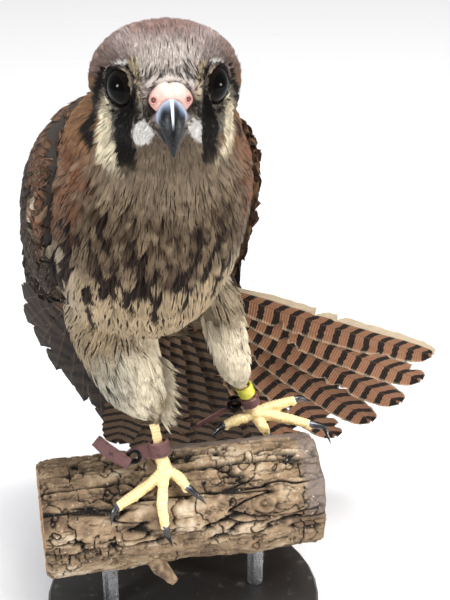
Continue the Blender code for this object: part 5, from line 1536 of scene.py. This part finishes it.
def wing_pad(side):
    """The shoulder: a lens over the side of the trunk, as rings of its outer and inner face."""
    start, end = PAD_PLACES
    outer, inner = [], []
    for u in np.linspace(-1, 1, PAD_ROWS):
        place = (start + end) / 2 + (end - start) / 2 * u
        middle, left, back, width, depth = trunk_frame(place)
        for v in np.linspace(-1, 1, PAD_COLUMNS):
            swing = PAD_REACH * v * math.sqrt(max(0.0, 1 - 0.55 * u * u))
            turn = PAD_MIDDLE + swing if side == 1 else math.pi - PAD_MIDDLE - swing
            dome = 1.3 + PAD_THICKNESS * math.sqrt(max(0.0, 1 - u * u)) * math.sqrt(max(0.0, 1 - v**4))
            for grow, rows in ((dome, outer), (-3.0, inner)):
                rows.append(middle + (width + grow) * math.cos(turn) * left
                            + (depth + grow) * math.sin(turn) * back)
    faces = []
    rows, columns = PAD_ROWS, PAD_COLUMNS
    count = rows * columns
    for i, j in itertools.product(range(rows - 1), range(columns - 1)):
        a = i * columns + j
        quad = (a, a + columns, a + columns + 1, a + 1)
        faces += [quad, tuple(n + count for n in quad[::-1])]
    rim = [*range(columns), *[i * columns - 1 for i in range(2, rows + 1)],
           *range(count - 2, count - columns - 1, -1), *[i * columns for i in range(rows - 2, 0, -1)]]
    for a, b in zip(rim, rim[1:] + rim[:1]):
        faces.append((a, b, b + count, a + count))
    return np.array(outer + inner), faces


def wing_lines(wing):
    """Root and tip of each flight feather, from the outermost primary inwards, and its outer face."""
    roots = np.vstack((spline(wing["hand"], PRIMARIES), spline(wing["forearm"], SECONDARIES)))
    tips = np.vstack((spline(wing["primary_tips"], PRIMARIES), spline(wing["secondary_tips"], SECONDARIES)))
    found = []
    for i, (root, tip) in enumerate(zip(roots, tips)):
        before, after = max(i - 1, 0), min(i + 1, len(tips) - 1)
        spread = (tips[after] - tips[before]) * 0.5 + (roots[after] - roots[before])
        found.append((root, tip, unit(np.cross(spread, tip - root)) * -wing["side"]))
    return found


def tube_form(rows, count, sides):
    """A closed round form along rows of x, y, z and radius."""
    line = spline(rows, count)
    return closed_form(tube_rings(line[:, :3], line[:, 3], sides))


flight_finish = feather_finish("flight_feather", 60.0, FRINGE_PALE, 0.75, 0.02, 0.00008, 0.05, 0.45, 0.93)
for wing, word in ((RIGHT_WING, "right"), (LEFT_WING, "left")):
    side = wing["side"]
    draw = np.random.default_rng(20 + side)
    shells = [outwards_first(*wing_pad(side))]
    for rows in (wing["leading_edge"], [(*place, 3.6 - 0.4 * i) for i, place in enumerate(wing["forearm"])],
                 [(*place, 2.2) for place in wing["hand"]]):
        shells.append(tube_form(rows, 40, 20))
    under = grown_together(f"wing_skin_{word}", *joined(shells), 1.3, 6)
    outline = points_of(under)
    move_points(under, outline - vertex_values(under, "normal") * WING_DRAWN_IN[side])
    # The right wing's skin is painted dark as shade, the left wing's a lighter buff as light.
    add_colours(under, "shade", evenly(COVERT_DARK_PAINTED_SHADE if side == -1 else COVERT_BUFF_PAINTED_LIGHT, outline))
    under.data.materials.append(skin_finish)
    place_piece(under, "brown_feather", f"wing_{word}")
    wing_points, wing_faces, wing_out, wing_maps = form_parts(under)
    wing_tree = tree_of(wing_points, wing_faces)

    flight = new_heap()
    lines = wing_lines(wing)
    for i, (root, tip, outwards) in enumerate(lines):
        primary = i < PRIMARIES
        bake = (0.05 + 0.9 * i / len(lines), 0.5)
        wide, point, tint, bar_count = (
            (11.5, 0.05, PRIMARY_BROWN, 7.0) if primary else (14.0, 0.35, SECONDARY_RUFOUS, 8.0))
        shape = blade(root, tip, outwards, wide, draw, 3.0, wing["lean"], point)
        add_blade(flight, shape, bake, tint, PRIMARY_DARK, bar_count, (0.0, 0.85, 0.15), draw)
        for tier, (reach, wide, lift) in enumerate(COVERT_TIERS):
            reach = reach if primary else reach * 1.35
            lift = lift - (WING_DRAWN_IN[side] - WING_DRAWN_IN[-1])
            start = root + outwards * (lift - 0.9) - unit(tip - root) * 2.0
            end = root + (tip - root) * (reach + draw.uniform(-0.01, 0.02))
            end = end + outwards * (lift + TIER_RISE[side])
            shape = blade(start, end, outwards, wide, draw, 1.0, wing["lean"] / 2, 0.5, 0.6)
            # The left wing's tiers are painted lighter, as light falling on them.
            tint = COVERT_BUFF_PAINTED_LIGHT if side == 1 else COVERT_RUFOUS if tier else SECONDARY_RUFOUS
            add_blade(flight, shape, bake, tint, PRIMARY_DARK, 4.0 - tier, (0.0, 0.7, 0.15), draw)
    make_coat(f"flight_{word}", flight, flight_finish, "brown_feather")

    def covert_sizes(points):
        down = smooth_step(140.0 - points[:, 2], 0.0, 60.0)
        return 6.5 + 4.0 * down, 3.4 + 1.2 * down

    roots, out_at, bakes = sow(wing_points, wing_faces, wing_out, wing_maps, covert_sizes,
                               COVERT_COVER, draw)
    flow_from = np.array([(root + tip) / 2 for root, tip, _ in lines])
    flow_to = np.array([unit(tip - root) for root, tip, _ in lines])
    far = np.linalg.norm(roots[:, None] - flow_from[None], axis=2)
    weights = 1.0 / (far**3)
    flow = (weights[..., None] * flow_to[None]).sum(axis=1)
    front_edge, near_edge, _ = along_line(roots, wing["leading_edge"])
    flow = unit(flow) + 0.9 * front_edge
    inner = smooth_step(out_at[:, 0] * -side, -0.15, 0.3) * smooth_step(roots[:, 2], 95.0, 105.0)
    flow = flow + 3.0 * inner[:, None] * (0.5 * side, 0.0, 1.0)
    flow = laid_flat(flow, out_at)
    lengths, widths = covert_sizes(roots)
    lengths = lengths * draw.uniform(0.85, 1.15, len(roots))
    colours = evenly(COVERT_RUFOUS, roots) * draw.normal(1.0, 0.10, len(roots))[:, None]
    # Painted light: the front edge is darkened as shade on the right wing and lightened, with fewer bars,
    # on the left.
    edge_share = 1 - smooth_step(near_edge + 2 * soft_noise(roots, 6.0, 71), 0.0, EDGE_REACH[side])
    colours = toward(colours, COVERT_DARK_PAINTED_SHADE if side == -1 else COVERT_BUFF_PAINTED_LIGHT, edge_share)
    if side == -1:
        # Painted shade: a dark strip down the far side of the right wing.
        strip = 1 - smooth_step(roots[:, 0] + 1.5 * soft_noise(roots, 5.0, 73), *SHADE_STRIP_EDGE)
        strip = strip * (roots[:, 2] < 146) * (out_at @ BODY_FRONT > -0.45)
        colours = toward(colours, COVERT_DARK_PAINTED_SHADE, 0.9 * strip)
    patch = mask_in_space(roots + out_at, WHITE_PATCH) if side == -1 else np.zeros(len(roots))
    colours = toward(colours, PATCH_CREAM, 0.85 * patch)
    over = smooth_step(roots[:, 0] + 1.5 * soft_noise(roots, 4.0, 72), *FLANK_EDGE)
    over = over * (roots[:, 2] < 134) * (out_at @ BODY_FRONT > -0.2) * (side == -1)
    flank, dark, _ = body_colours(roots + out_at)
    dark = dark[:, None] > draw.uniform(0.25, 0.75, (len(roots), 1))
    flank = np.where(dark, linear(STREAK_BROWN), flank) * draw.normal(1.0, 0.10, len(roots))[:, None]
    colours = toward(colours, flank, over)
    barred = (0.55 if side == -1 else 0.55 - 0.45 * edge_share) * (patch < 0.5) * (over < 0.5)
    seeds = draw.uniform(0, 1, len(roots))
    looks = feather_looks(colours, seeds, BAR_BLACK, 2.0, 0.0, barred, 0.2 * (over < 0.5))
    coverts = new_heap()
    lay_feathers(coverts, wing_tree, "covert", roots, flow, bakes, lengths, widths,
                 COVERT_RISE[side] * draw.uniform(0.8, 1.1, len(roots)), looks, draw)
    make_coat(f"wing_coverts_{word}", coverts, coat_finish, "brown_feather")


# The tail is a wide fan of twelve stiff feathers, rufous with black bars and pale shafts, the outer
# one on the bird's left with a pale edge. Coverts cover the stub that carries them, above and below.
TAIL_APEX = np.array((-9.0, 24.6, 86.2))
TAIL_DOWN = unit((0.0, 0.42, -0.91))
TAIL_BACK = unit((0.0, 0.91, 0.42))
TAIL_SIDE = np.array((1.0, 0.0, 0.0))
TAIL_LEFT_TURNS, TAIL_RIGHT_TURNS = (24.0, 8.0), (18.0, -5.6)
TAIL_LENGTH, TAIL_FEATHER_WIDTH, TAIL_LAYER = 133.0, 16.5, 0.95
TAIL_STUB = ((-14.6, 26.4, 75.6, 11.2, 8.2), (-12, 31, 66, 12, 6.5), (-7, 36, 56, 12, 3.6))
TAIL_DRAWN_IN = 1.0
TAIL_COVERT_LENGTH, TAIL_COVERT_WIDTH, TAIL_COVERT_HEIGHT = 18.0, 6.0, 1.3
COVERT_FAN_REACH, COVERT_FAN_TURNS = (5.0, 40.0), (-13.0, 66.0)
TAIL_RUFOUS = (144, 104, 78)
# Painted shade: the right half of the fan is coloured darker, as if in the body's shadow.
TAIL_SHADED_BROWN = (96, 77, 60)
TAIL_EDGE = (214, 196, 168)
# The vent's grey-brown is partly its own colour and partly painted shade under the tail.
VENT_BROWN = (100, 86, 68)


def tail_direction(turn_degrees):
    turn = math.radians(turn_degrees)
    return math.sin(turn) * TAIL_SIDE + math.cos(turn) * TAIL_DOWN


def tail_feather_line(side, number):
    """Root and tip of one feather. side is 1 on the left, number is 0 at the middle."""
    first, step = TAIL_LEFT_TURNS if side == 1 else TAIL_RIGHT_TURNS
    along = tail_direction(first + step * number)
    length = TAIL_LENGTH - (1.0 if side == -1 else 0.0) - 0.8 * number**2
    layer = -TAIL_BACK * TAIL_LAYER * (number + (0.5 if side == -1 else 0.0))
    return TAIL_APEX + along * 20 + layer, TAIL_APEX + along * length + layer


draw = np.random.default_rng(31)
rings = []
for x, y, z, width, depth in spline(TAIL_STUB, 20):
    turns = circle(32)
    rings.append(np.array((x, y, z)) + width * np.cos(turns)[:, None] * unit((0.92, 0.12, 0.37))
                 + depth * np.sin(turns)[:, None] * unit((-0.12, 0.92, 0.36)))
shells = [closed_form(rings)]
rings = []
for share in np.linspace(0, 1, 16):
    reach = np.interp(share, (0, 1), COVERT_FAN_REACH)
    thin = 1 - 0.75 * share**2
    ring = []
    for lift, row in ((-2.4 + 4.2 * thin, np.linspace(-1, 1, 20)),
                      (-2.9 - 4.4 * thin, np.linspace(1, -1, 20))):
        for u in row:
            turn = np.interp(u, (-1, 1), COVERT_FAN_TURNS)
            ring.append(TAIL_APEX + tail_direction(turn) * reach * (1 - 0.14 * u * u) + TAIL_BACK * lift)
    rings.append(ring)
shells.append(closed_form(rings))
stub = grown_together("tail_root", *joined(shells), 1.2, 6)
outline = points_of(stub)
move_points(stub, outline - vertex_values(stub, "normal") * TAIL_DRAWN_IN)
# Painted shade: the tail root's skin is darkened to 0.7, as it lies in shade under its coverts.
add_colours(stub, "shade", evenly(VENT_BROWN, outline) * 0.7)
stub.data.materials.append(skin_finish)
place_piece(stub, "rufous_feather", "tail")

tail_finish = feather_finish("tail_feather", 90.0, TAIL_EDGE, 0.75, 0.02, 0.00008, 0.03, 0.42, 0.975)
fan = new_heap()
for side in (1, -1):
    for number in range(6):
        root, tip = tail_feather_line(side, number)
        shape = blade(root, tip, TAIL_BACK, TAIL_FEATHER_WIDTH, draw, -1.5, 0.0, 0.35, 0.35)
        # The right half gets the darker brown and no pale rims: painted shade.
        tint, bar_count, rim = (TAIL_RUFOUS, 15.0, 0.3) if side == 1 else (TAIL_SHADED_BROWN, 17.0, 0.0)
        add_blade(fan, shape, (0.5 + side * (0.05 + 0.07 * number), 0.4), tint, BAR_BLACK, bar_count,
                  (0.0, 1.0, rim), draw, 0.85 * (side == 1 and number == 5))
make_coat("tail_feathers", fan, tail_finish, "rufous_feather")

stub_points, stub_faces, stub_out, stub_maps = form_parts(stub)
stub_tree = tree_of(stub_points, stub_faces)


def stub_sizes(points):
    """How far apart the tail's coverts grow, along and across."""
    return np.full(len(points), 14.0), np.full(len(points), TAIL_COVERT_WIDTH)


roots, out_at, bakes = sow(stub_points, stub_faces, stub_out, stub_maps, stub_sizes, COVERT_COVER, draw)
flow = unit(roots - TAIL_APEX + TAIL_BACK * 3.0)
flow = laid_flat(flow, out_at)
above = smooth_step(out_at @ TAIL_BACK, -0.1, 0.3)
colours = toward(evenly(VENT_BROWN, roots), BACK_RUFOUS, above)
colours = colours * draw.normal(1.0, 0.08, len(roots))[:, None]
looks = feather_looks(colours, draw.uniform(0, 1, len(roots)), BAR_BLACK, 3.0, 0.0, 0.8 * above,
                      0.3 * above)
coverts = new_heap()
lengths = TAIL_COVERT_LENGTH * draw.uniform(0.8, 1.2, len(roots))
widths, heights = np.full(len(roots), TAIL_COVERT_WIDTH), np.full(len(roots), TAIL_COVERT_HEIGHT)
lay_feathers(coverts, stub_tree, "covert", roots, flow, bakes, lengths, widths, heights, looks, draw)
make_coat("tail_coverts", coverts, coat_finish, "rufous_feather")


# The legs are bare from the ankle down: pale yellow skin in overlapping scutes along the front of
# the shank and the tops of the toes, with rough pads underneath that grip the bark.
SHANKS = {
    "right": ((-9.1, -5.5, 40.8, 1.7), (-7.4, -7.9, 33, 1.6), (-6.2, -9.4, 28.2, 1.9)),
    "left": ((21.1, 20.2, 38.8, 1.7), (23.8, 21, 33, 1.6), (25.2, 21.4, 29.6, 1.9)),
}
# Each foot: its pad, then each toe's two knuckles and last joint, and its claw's bend and tip.
FEET = {
    "right": {
        "pad": (-5.1, -10.7, 23.6),
        "middle": ((-5.6, -16.2, 19.9), (-5.9, -20.1, 15.3), (-4.9, -22.7, 9.4),
                   (-4, -23.3, 5.2), (-2.6, -21.9, -0.4)),
        "outer": ((-10, -15.4, 21), (-15.3, -19, 18.6), (-20.3, -21.6, 16.5),
                  (-22.3, -23.2, 14.3), (-22.9, -24.4, 10.3)),
        "inner": ((-2, -11.8, 22.6), (0.1, -12.8, 21.3), (2.1, -14.6, 19.2),
                  (5.5, -16, 17), (8.9, -16.4, 13.2)),
        "hind": ((-6.9, -6.6, 24.8), (-8.2, -1.8, 24.9), (-9, 2.4, 24.6),
                 (-9.4, 6.4, 23.3), (-9.6, 9.8, 20.7)),
    },
    "left": {
        "pad": (26.3, 21.6, 25.9),
        "middle": ((31.1, 22, 24.9), (38.4, 22.4, 23), (45.9, 20, 22.3),
                   (51.4, 19.4, 21), (53.9, 16.7, 15.8)),
        "outer": ((31.1, 23.4, 27.4), (35.5, 24.6, 27.9), (40.3, 26.1, 28.7),
                  (43.6, 27.1, 28.9), (46, 27.4, 26.6)),
        "inner": ((27.6, 20.2, 23.4), (29.2, 19.6, 21.4), (30.4, 21.6, 18.4),
                  (31, 23.6, 15), (31.2, 23.8, 11.4)),
        "hind": ((22.7, 20.3, 25), (19.4, 19.4, 24.3), (15.8, 18.5, 23),
                 (12.8, 17.4, 21.2), (10.6, 16.6, 18.4)),
    },
}
TOES = ("middle", "outer", "inner", "hind")
CLAW_RADIUS = 1.3
FOOT_VOXEL = 0.34
SCUTE_LENGTH = 1.15
TOE_YELLOW = (240, 212, 148)
TOE_PALE = (252, 236, 196)
TOE_CREASE = (178, 132, 78)
CLAW_BLACK = (20, 21, 25)
CLAW_GREY = (92, 96, 106)

leg_finish = mottled_finish("leg_skin", 0.48, None, TOE_CREASE, 1300.0, 0.10, 0.00015,
                            coat=0.12, under_skin=0.1)
claw_finish = mottled_finish("claw_horn", 0.2, None, CLAW_GREY, 1500.0, 0.05, 0.00005, (0.16, 0.3),
                             coat=0.5)


def nearest_on(points, line):
    """Index of the nearest point of a line for each point, in batches that fit in memory."""
    return np.concatenate([np.argmin(np.linalg.norm(part[:, None] - line[None, :, :3], axis=2), axis=1)
                           for part in np.array_split(points, max(1, len(points) // 4000))])


for word in ("right", "left"):
    foot = FEET[word]
    pad, shank = np.array(foot["pad"]), SHANKS[word]
    shank_end = np.array(shank[-1][:3])
    shells = [outwards_first(*ball_form(pad, 2.7)), tube_form(shank, 40, 20)]
    shells.append(tube_form(((*shank_end, 1.9), (*((pad + shank_end) / 2), 2.3), (*pad, 2.5)), 14, 20))
    limbs = [np.vstack((spline(shank, 60), spline(((*shank_end, 1.9), (*pad, 2.5)), 12)))]
    for toe in TOES:
        first, second, last, bend, _ = (np.array(place) for place in foot[toe])
        rows = ((*pad, 2.0), (*first, 1.75), (*((first + second) / 2), 1.9), (*second, 1.85),
                (*((second + last) / 2), 1.72), (*(last + unit(bend - last) * 0.5), 1.5))
        shells.append(tube_form(rows, 40, 20))
        for at, size in ((first, 1.5), (second, 1.55), (last, 1.4)):
            shells.append(outwards_first(*ball_form(at - UP * 0.9, size)))
        limbs.append(spline(rows, 60))
    leg = grown_together(f"leg_{word}", *joined(shells), FOOT_VOXEL, 5)
    points, normals = points_of(leg), vertex_values(leg, "normal")
    line = np.vstack(limbs)
    length_at = np.concatenate([lengths_along(limb[:, :3]) for limb in limbs])
    ways = np.vstack([unit(np.gradient(limb[:, :3], axis=0)) for limb in limbs])
    found = nearest_on(points, line)
    ahead = dots(points - line[found, :3], ways[found]) + length_at[found]
    front = np.where(found[:, None] < len(limbs[0]), BODY_FRONT, UP)
    upper = smooth_step(dots(normals, front), -0.15, 0.5)
    scute = np.abs(((ahead / SCUTE_LENGTH) % 1.0) - 0.5) * 2
    crease = smooth_step(scute, 0.72, 0.98) * upper
    pebble = soft_noise(points, 0.55, 81)
    rise = 0.07 * (1 - scute) * upper - 0.045 * crease + (0.10 + 0.10 * (1 - upper)) * pebble
    move_points(leg, points + normals * rise[:, None])
    # Painted light: the crests of the upper scutes are paler as highlights, with a random tone on top.
    shades = toward(evenly(TOE_YELLOW, points), TOE_PALE, 0.6 * upper * (1 - scute) + 0.3 * pebble)
    # Painted shade: the creases between scutes and the hollows underneath are darkened.
    toe_crease_shade = 0.22 * crease + 0.30 * (1 - upper) * smooth_step(-pebble, -0.2, 0.6)
    shades = toward(shades, TOE_CREASE, toe_crease_shade)
    add_colours(leg, "shade", shades)
    leg.data.materials.append(leg_finish)
    place_piece(leg, "leg_skin", f"foot_{word}", f"shank_{word}")
    for toe in TOES:
        _, _, last, bend, tip = (np.array(place) for place in foot[toe])
        start = last + unit(bend - last) * 0.1
        rows = ((*start, CLAW_RADIUS), (*(start * 0.5 + bend * 0.5 + UP * 0.25), CLAW_RADIUS * 0.97),
                (*bend, CLAW_RADIUS * 0.76), (*(bend * 0.45 + tip * 0.55 + UP * 0.2), CLAW_RADIUS * 0.42),
                (*tip, 0.10))
        points, faces = tube_form(rows, 40, 28)
        claw = add_mesh(f"horn_{word}_{toe}", points, faces, claw_finish)
        along = np.repeat(np.linspace(0, 1, 40), 28)
        shades = toward(evenly(CLAW_GREY, points), CLAW_BLACK, smooth_step(along, 0.0, 0.25))
        add_colours(claw, "shade", shades)
        place_piece(claw, "claw_horn", f"claw_{word}_{toe}")


# The bird wears a soft leather band on each shank, closed by a blackened grommet, with a short
# leather strap through it, and a split plastic ring above the left band.
CUFFS = {
    "right": {"low": (-6.3, -9.3, 28.3), "high": (-7.4, -7.9, 33.4), "radius": 3.7,
              "tab": (-18.6, -11, 28.2),
              "strap": ((-16.8, -14, 28, 1.9), (-19.5, -13.4, 29.4, 2.2), (-24, -11.5, 31.6, 2.3),
                        (-28.4, -9.5, 34.6, 2.2))},
    "left": {"low": (25, 21.3, 29.8), "high": (23.9, 21, 33.2), "radius": 3.3,
             "tab": (15.6, 21.4, 29.8),
             "strap": ((15.9, 18.6, 29.4, 1), (12.9, 19.6, 26.8, 1.1), (9.3, 20.8, 23.6, 1.1),
                       (5.4, 22, 20.2, 0.9))},
}
LEATHER_THICKNESS = 1.1
EYELET_RADIUS = 2.5
RING_ENDS = ((23.5, 20.9, 34.3), (21.9, 20.4, 38.3))
LEATHER_PLUM = (104, 66, 64)
LEATHER_DARK = (58, 36, 34)
LEATHER_EDGE = (156, 116, 108)
GROMMET_BLACK = (26, 25, 27)
GROMMET_WORN = (74, 66, 58)
RING_YELLOW = (196, 192, 70)
RING_SHADE = (132, 128, 40)

leather, tree, shader = new_finish("strap_leather", 0.55)
hide = add_speckle(tree, None, LEATHER_DARK, 500.0, 0.35)
# Painted shade: the leather is darkened along the grooves of its grain.
pores = add_node(tree, "ShaderNodeTexVoronoi", {"Scale": 1900.0}, feature="DISTANCE_TO_EDGE")
bark_wear_and_leather_groove_shade = mixed(tree, ramp(tree, pores.outputs[0], 0.02, 0.12, 0.3, 0.0), hide["Colour"], rgba(LEATHER_DARK))
feed(tree, shader, bark_wear_and_leather_groove_shade, ramp(tree, hide["Mask"], 0.0, 1.0, 0.45, 0.68), pores.outputs[0], 0.00012)
grommet = mottled_finish("blackened_brass", 0.28, GROMMET_BLACK, GROMMET_WORN, 900.0, 0.25, 0.00004,
                         (0.22, 0.4), metallic=0.85)
plastic = mottled_finish("ring_plastic", 0.38, RING_YELLOW, RING_SHADE, 420.0, 0.35, 0.00008,
                         coat=0.2, under_skin=0.1)


def turned_sleeve(low, high, profile, sides, around=math.tau, start=0.0, lead=(0, 1, 0.1)):
    """A sleeve round the line from low to high, from a closed profile of radius and share of height."""
    low, high = np.asarray(low, float), np.asarray(high, float)
    along = unit(high - low)
    across = unit(np.cross(along, lead))
    other = np.cross(along, across)
    closed = around > 6.28
    turns = start + np.arange(sides) * (around / (sides if closed else sides - 1))
    out = np.cos(turns)[:, None] * across + np.sin(turns)[:, None] * other
    profile = np.asarray(profile, float)
    rings = low + out[:, None] * profile[None, :, :1] + (high - low) * profile[None, :, 1:]
    count, rim = rings.shape[:2]
    faces = []
    for i in range(count if closed else count - 1):
        n = (i + 1) % count
        along_rim = zip(range(rim), [*range(1, rim), 0])
        faces += [(i * rim + j, n * rim + j, n * rim + k, i * rim + k) for j, k in along_rim]
    if not closed:
        faces += [tuple(range(rim)), tuple(range((count - 1) * rim, count * rim))[::-1]]
    return outwards_first(rings.reshape(-1, 3), faces)


def rounded_wall(inner, outer, corner, length):
    """The closed profile of a wall with rounded rims, in radius and share of its length."""
    profile = []
    for radius, height, first in ((outer - corner, corner / length, -90),
                                  (outer - corner, 1 - corner / length, 0),
                                  (inner + corner, 1 - corner / length, 90),
                                  (inner + corner, corner / length, 180)):
        for angle in np.radians(first + np.linspace(0, 90, 5)):
            profile.append((radius + corner * math.cos(angle), height + corner / length * math.sin(angle)))
    return profile


for word, cuff in CUFFS.items():
    low, high, radius = np.array(cuff["low"]), np.array(cuff["high"]), cuff["radius"]
    length = np.linalg.norm(high - low)
    middle = (low + high) / 2
    tab_end = np.array(cuff["tab"])
    reach = unit(tab_end - middle)
    rise = unit(high - low)
    face = np.cross(reach, rise)
    tall = length / 2
    shells = [turned_sleeve(low, high, rounded_wall(radius - LEATHER_THICKNESS, radius, 0.4, length), 96)]
    tab_start = middle + reach * (radius - 0.6)
    rings = []
    for share in np.linspace(0, 1, 24):
        at = tab_start + (tab_end - tab_start) * share
        half = tall * math.sqrt(max(0.05, 1 - (max(0.0, share - 0.72) / 0.29) ** 2))
        turns = circle(28)
        flat = np.sign(np.cos(turns)) * np.abs(np.cos(turns)) ** 0.35 * 0.72
        wide = np.sign(np.sin(turns)) * np.abs(np.sin(turns)) ** 0.6 * half
        rings.append(at + flat[:, None] * face + wide[:, None] * rise)
    shells.append(closed_form(rings))
    band = grown_together(f"leather_band_{word}", *joined(shells), 0.22, 4)
    eye = middle + reach * (np.linalg.norm(tab_end - middle) - 3.2)
    points, faces = tube_form([(*(eye + face * end), EYELET_RADIUS - 0.42) for end in (-5, 5)], 3, 48)
    punch = add_mesh("punch", points, faces, leather)
    cut = band.modifiers.new("hole", "BOOLEAN")
    cut.operation = "DIFFERENCE"
    cut.object = punch
    bpy.context.view_layer.update()
    band.data = bpy.data.meshes.new_from_object(band.evaluated_get(bpy.context.evaluated_depsgraph_get()))
    band.modifiers.clear()
    bpy.data.objects.remove(punch, do_unlink=True)
    band.data.shade_smooth()
    points, normals = points_of(band), vertex_values(band, "normal")
    crumple = 0.14 * soft_noise(points, 2.2, 91) + 0.06 * soft_noise(points, 0.9, 92)
    move_points(band, points + normals * crumple[:, None])
    from_edge = tall - np.abs((points - middle) @ rise)
    from_hole = np.linalg.norm(points - eye - np.outer((points - eye) @ face, face), axis=1) - EYELET_RADIUS
    rubbed = 1 - smooth_step(np.minimum(from_edge, np.abs(from_hole) + 0.4) + 0.5 * crumple, 0.1, 0.7)
    shades = toward(evenly(LEATHER_PLUM, points), LEATHER_EDGE, 0.7 * rubbed)
    # Painted shade: the band is darker in the hollows of its crumples.
    add_colours(band, "shade", toward(shades, LEATHER_DARK, 0.5 * smooth_step(-crumple, 0.0, 0.2)))
    band.data.materials.clear()
    band.data.materials.append(leather)
    place_piece(band, "leather", f"cuff_{word}")

    inner, outer = EYELET_RADIUS - 1.2, EYELET_RADIUS - 0.4 - 0.3
    wall = [(outer, 0.06), (outer + 0.6, 0.03), (outer + 0.75, -0.06), (outer + 0.5, -0.14),
            (outer - 0.1, -0.13), (inner + 0.1, -0.04), (inner, 0.08)]
    wall += [(at, 1 - share) for at, share in wall[::-1]]
    points, faces = turned_sleeve(eye - face * 1.05, eye + face * 1.05, wall, 64, lead=rise)
    grommet_piece = add_mesh(f"grommet_{word}", points, faces, grommet)
    place_piece(grommet_piece, "eyelet", f"eyelet_{word}")

    rows = spline(cuff["strap"], 70)
    rings = tube_rings(rows[:, :3], rows[:, 3], 40, 0.5, face)
    turns = circle(40)
    middle_line = rows[:, None, :3]
    groove = 1 - 0.30 * np.exp(-(((np.abs(np.sin(turns)) - 1.0) / 0.22) ** 2))
    rings = middle_line + (rings - middle_line) * groove[None, :, None]
    crumple = 0.10 * soft_noise(rings, 1.8, 94) + 0.05 * soft_noise(rings, 0.8, 95)
    rings = rings + unit(rings - middle_line) * crumple[..., None]
    points, faces = closed_form(rings)
    strap = add_mesh(f"leather_strap_{word}", points, faces, leather)
    edge = np.tile(smooth_step(np.abs(np.cos(turns)), 0.80, 0.98), 70)
    shades = toward(evenly(LEATHER_PLUM, points), LEATHER_EDGE, 0.7 * edge)
    # Painted shade: the strap's ends are darkened in place of the hollow of the rolled end.
    ends = np.repeat(np.minimum(np.arange(70), 69 - np.arange(70)) < 1, 40)
    add_colours(strap, "shade", toward(shades, LEATHER_DARK, 0.8 * ends))
    place_piece(strap, "leather", f"strap_{word}")

profile = rounded_wall(2.3, 3.1, 0.3, np.linalg.norm(np.subtract(*RING_ENDS)))
points, faces = turned_sleeve(*RING_ENDS, profile, 80, math.radians(338), math.radians(20))
ring = add_mesh("leg_band_ring", points, faces, plastic)
place_piece(ring, "ring_plastic", "leg_ring_left")


# The floor and backdrop are one wide pale sheet, lit by a big soft lamp overhead, a small one at each
# side, a soft skylight and the room's own light. The camera stands where the photograph was taken from.
FLOOR_PALE = (228, 228, 230)
FLOOR_WORN = (222, 222, 225)
FLOOR_REACH = 6000.0
FLOOR_GAP = 0.2
CAMERA_PLACE = (0.0154, -0.3709, 0.316)
CAMERA_TILT = math.radians(63.0)
CAMERA_LENS = 76.2
# Each lamp: place, where it points, width in metres, power in watts and colour.
LAMPS = (
    ((0.25, -0.25, 1.15), (0.0, 0.0, 0.12), 0.45, 13.0, (1.0, 0.98, 0.95)),
    ((-0.70, -0.60, 0.45), (0.0, 0.0, 0.15), 0.17, 6.5, (0.97, 0.98, 1.0)),
    ((0.81, -0.32, 0.26), (0.0, 0.0, 0.15), 0.17, 5.0, (1.0, 0.98, 0.96)),
)
SKYLIGHT, SKYLIGHT_ANGLE = 0.75, math.radians(60.0)
ROOM_LIGHT = 0.56

floor_finish = mottled_finish("pale_floor", 0.95, FLOOR_PALE, FLOOR_WORN, 40.0, 0.1, 0.0)
corners = [(x * FLOOR_REACH, y * FLOOR_REACH, -LIFT - FLOOR_GAP)
           for x, y in ((-1, -1), (1, -1), (1, 1), (-1, 1))]
floor = add_mesh("floor", corners, [(0, 1, 2, 3)], floor_finish, False)
world = bpy.data.worlds.new("room")
bpy.context.scene.world = world
world.use_nodes = True
room = world.node_tree.nodes["Background"].inputs
room["Color"].default_value = (1.0, 1.0, 1.0, 1.0)
room["Strength"].default_value = ROOM_LIGHT
for number, (place, target, width, power, tone) in enumerate(LAMPS, 1):
    light_data = bpy.data.lights.new(f"lamp_{number}", "AREA")
    light_data.size = width
    light_data.energy = power
    light_data.color = tone
    lamp = bpy.data.objects.new(f"lamp_{number}", light_data)
    lamp.location = place
    lamp.rotation_euler = (Vector(target) - Vector(place)).to_track_quat("-Z", "Y").to_euler()
    bpy.context.scene.collection.objects.link(lamp)
sky_data = bpy.data.lights.new("skylight", "SUN")
sky_data.energy = SKYLIGHT
sky_data.angle = SKYLIGHT_ANGLE
bpy.context.scene.collection.objects.link(bpy.data.objects.new("skylight", sky_data))
camera_data = bpy.data.cameras.new("camera")
camera_data.lens = CAMERA_LENS
camera = bpy.data.objects.new("camera", camera_data)
camera.location = CAMERA_PLACE
camera.rotation_euler = (CAMERA_TILT, 0.0, 0.0)
bpy.context.scene.collection.objects.link(camera)
bpy.context.scene.camera = camera
bpy.context.scene.view_settings.view_transform = "Standard"
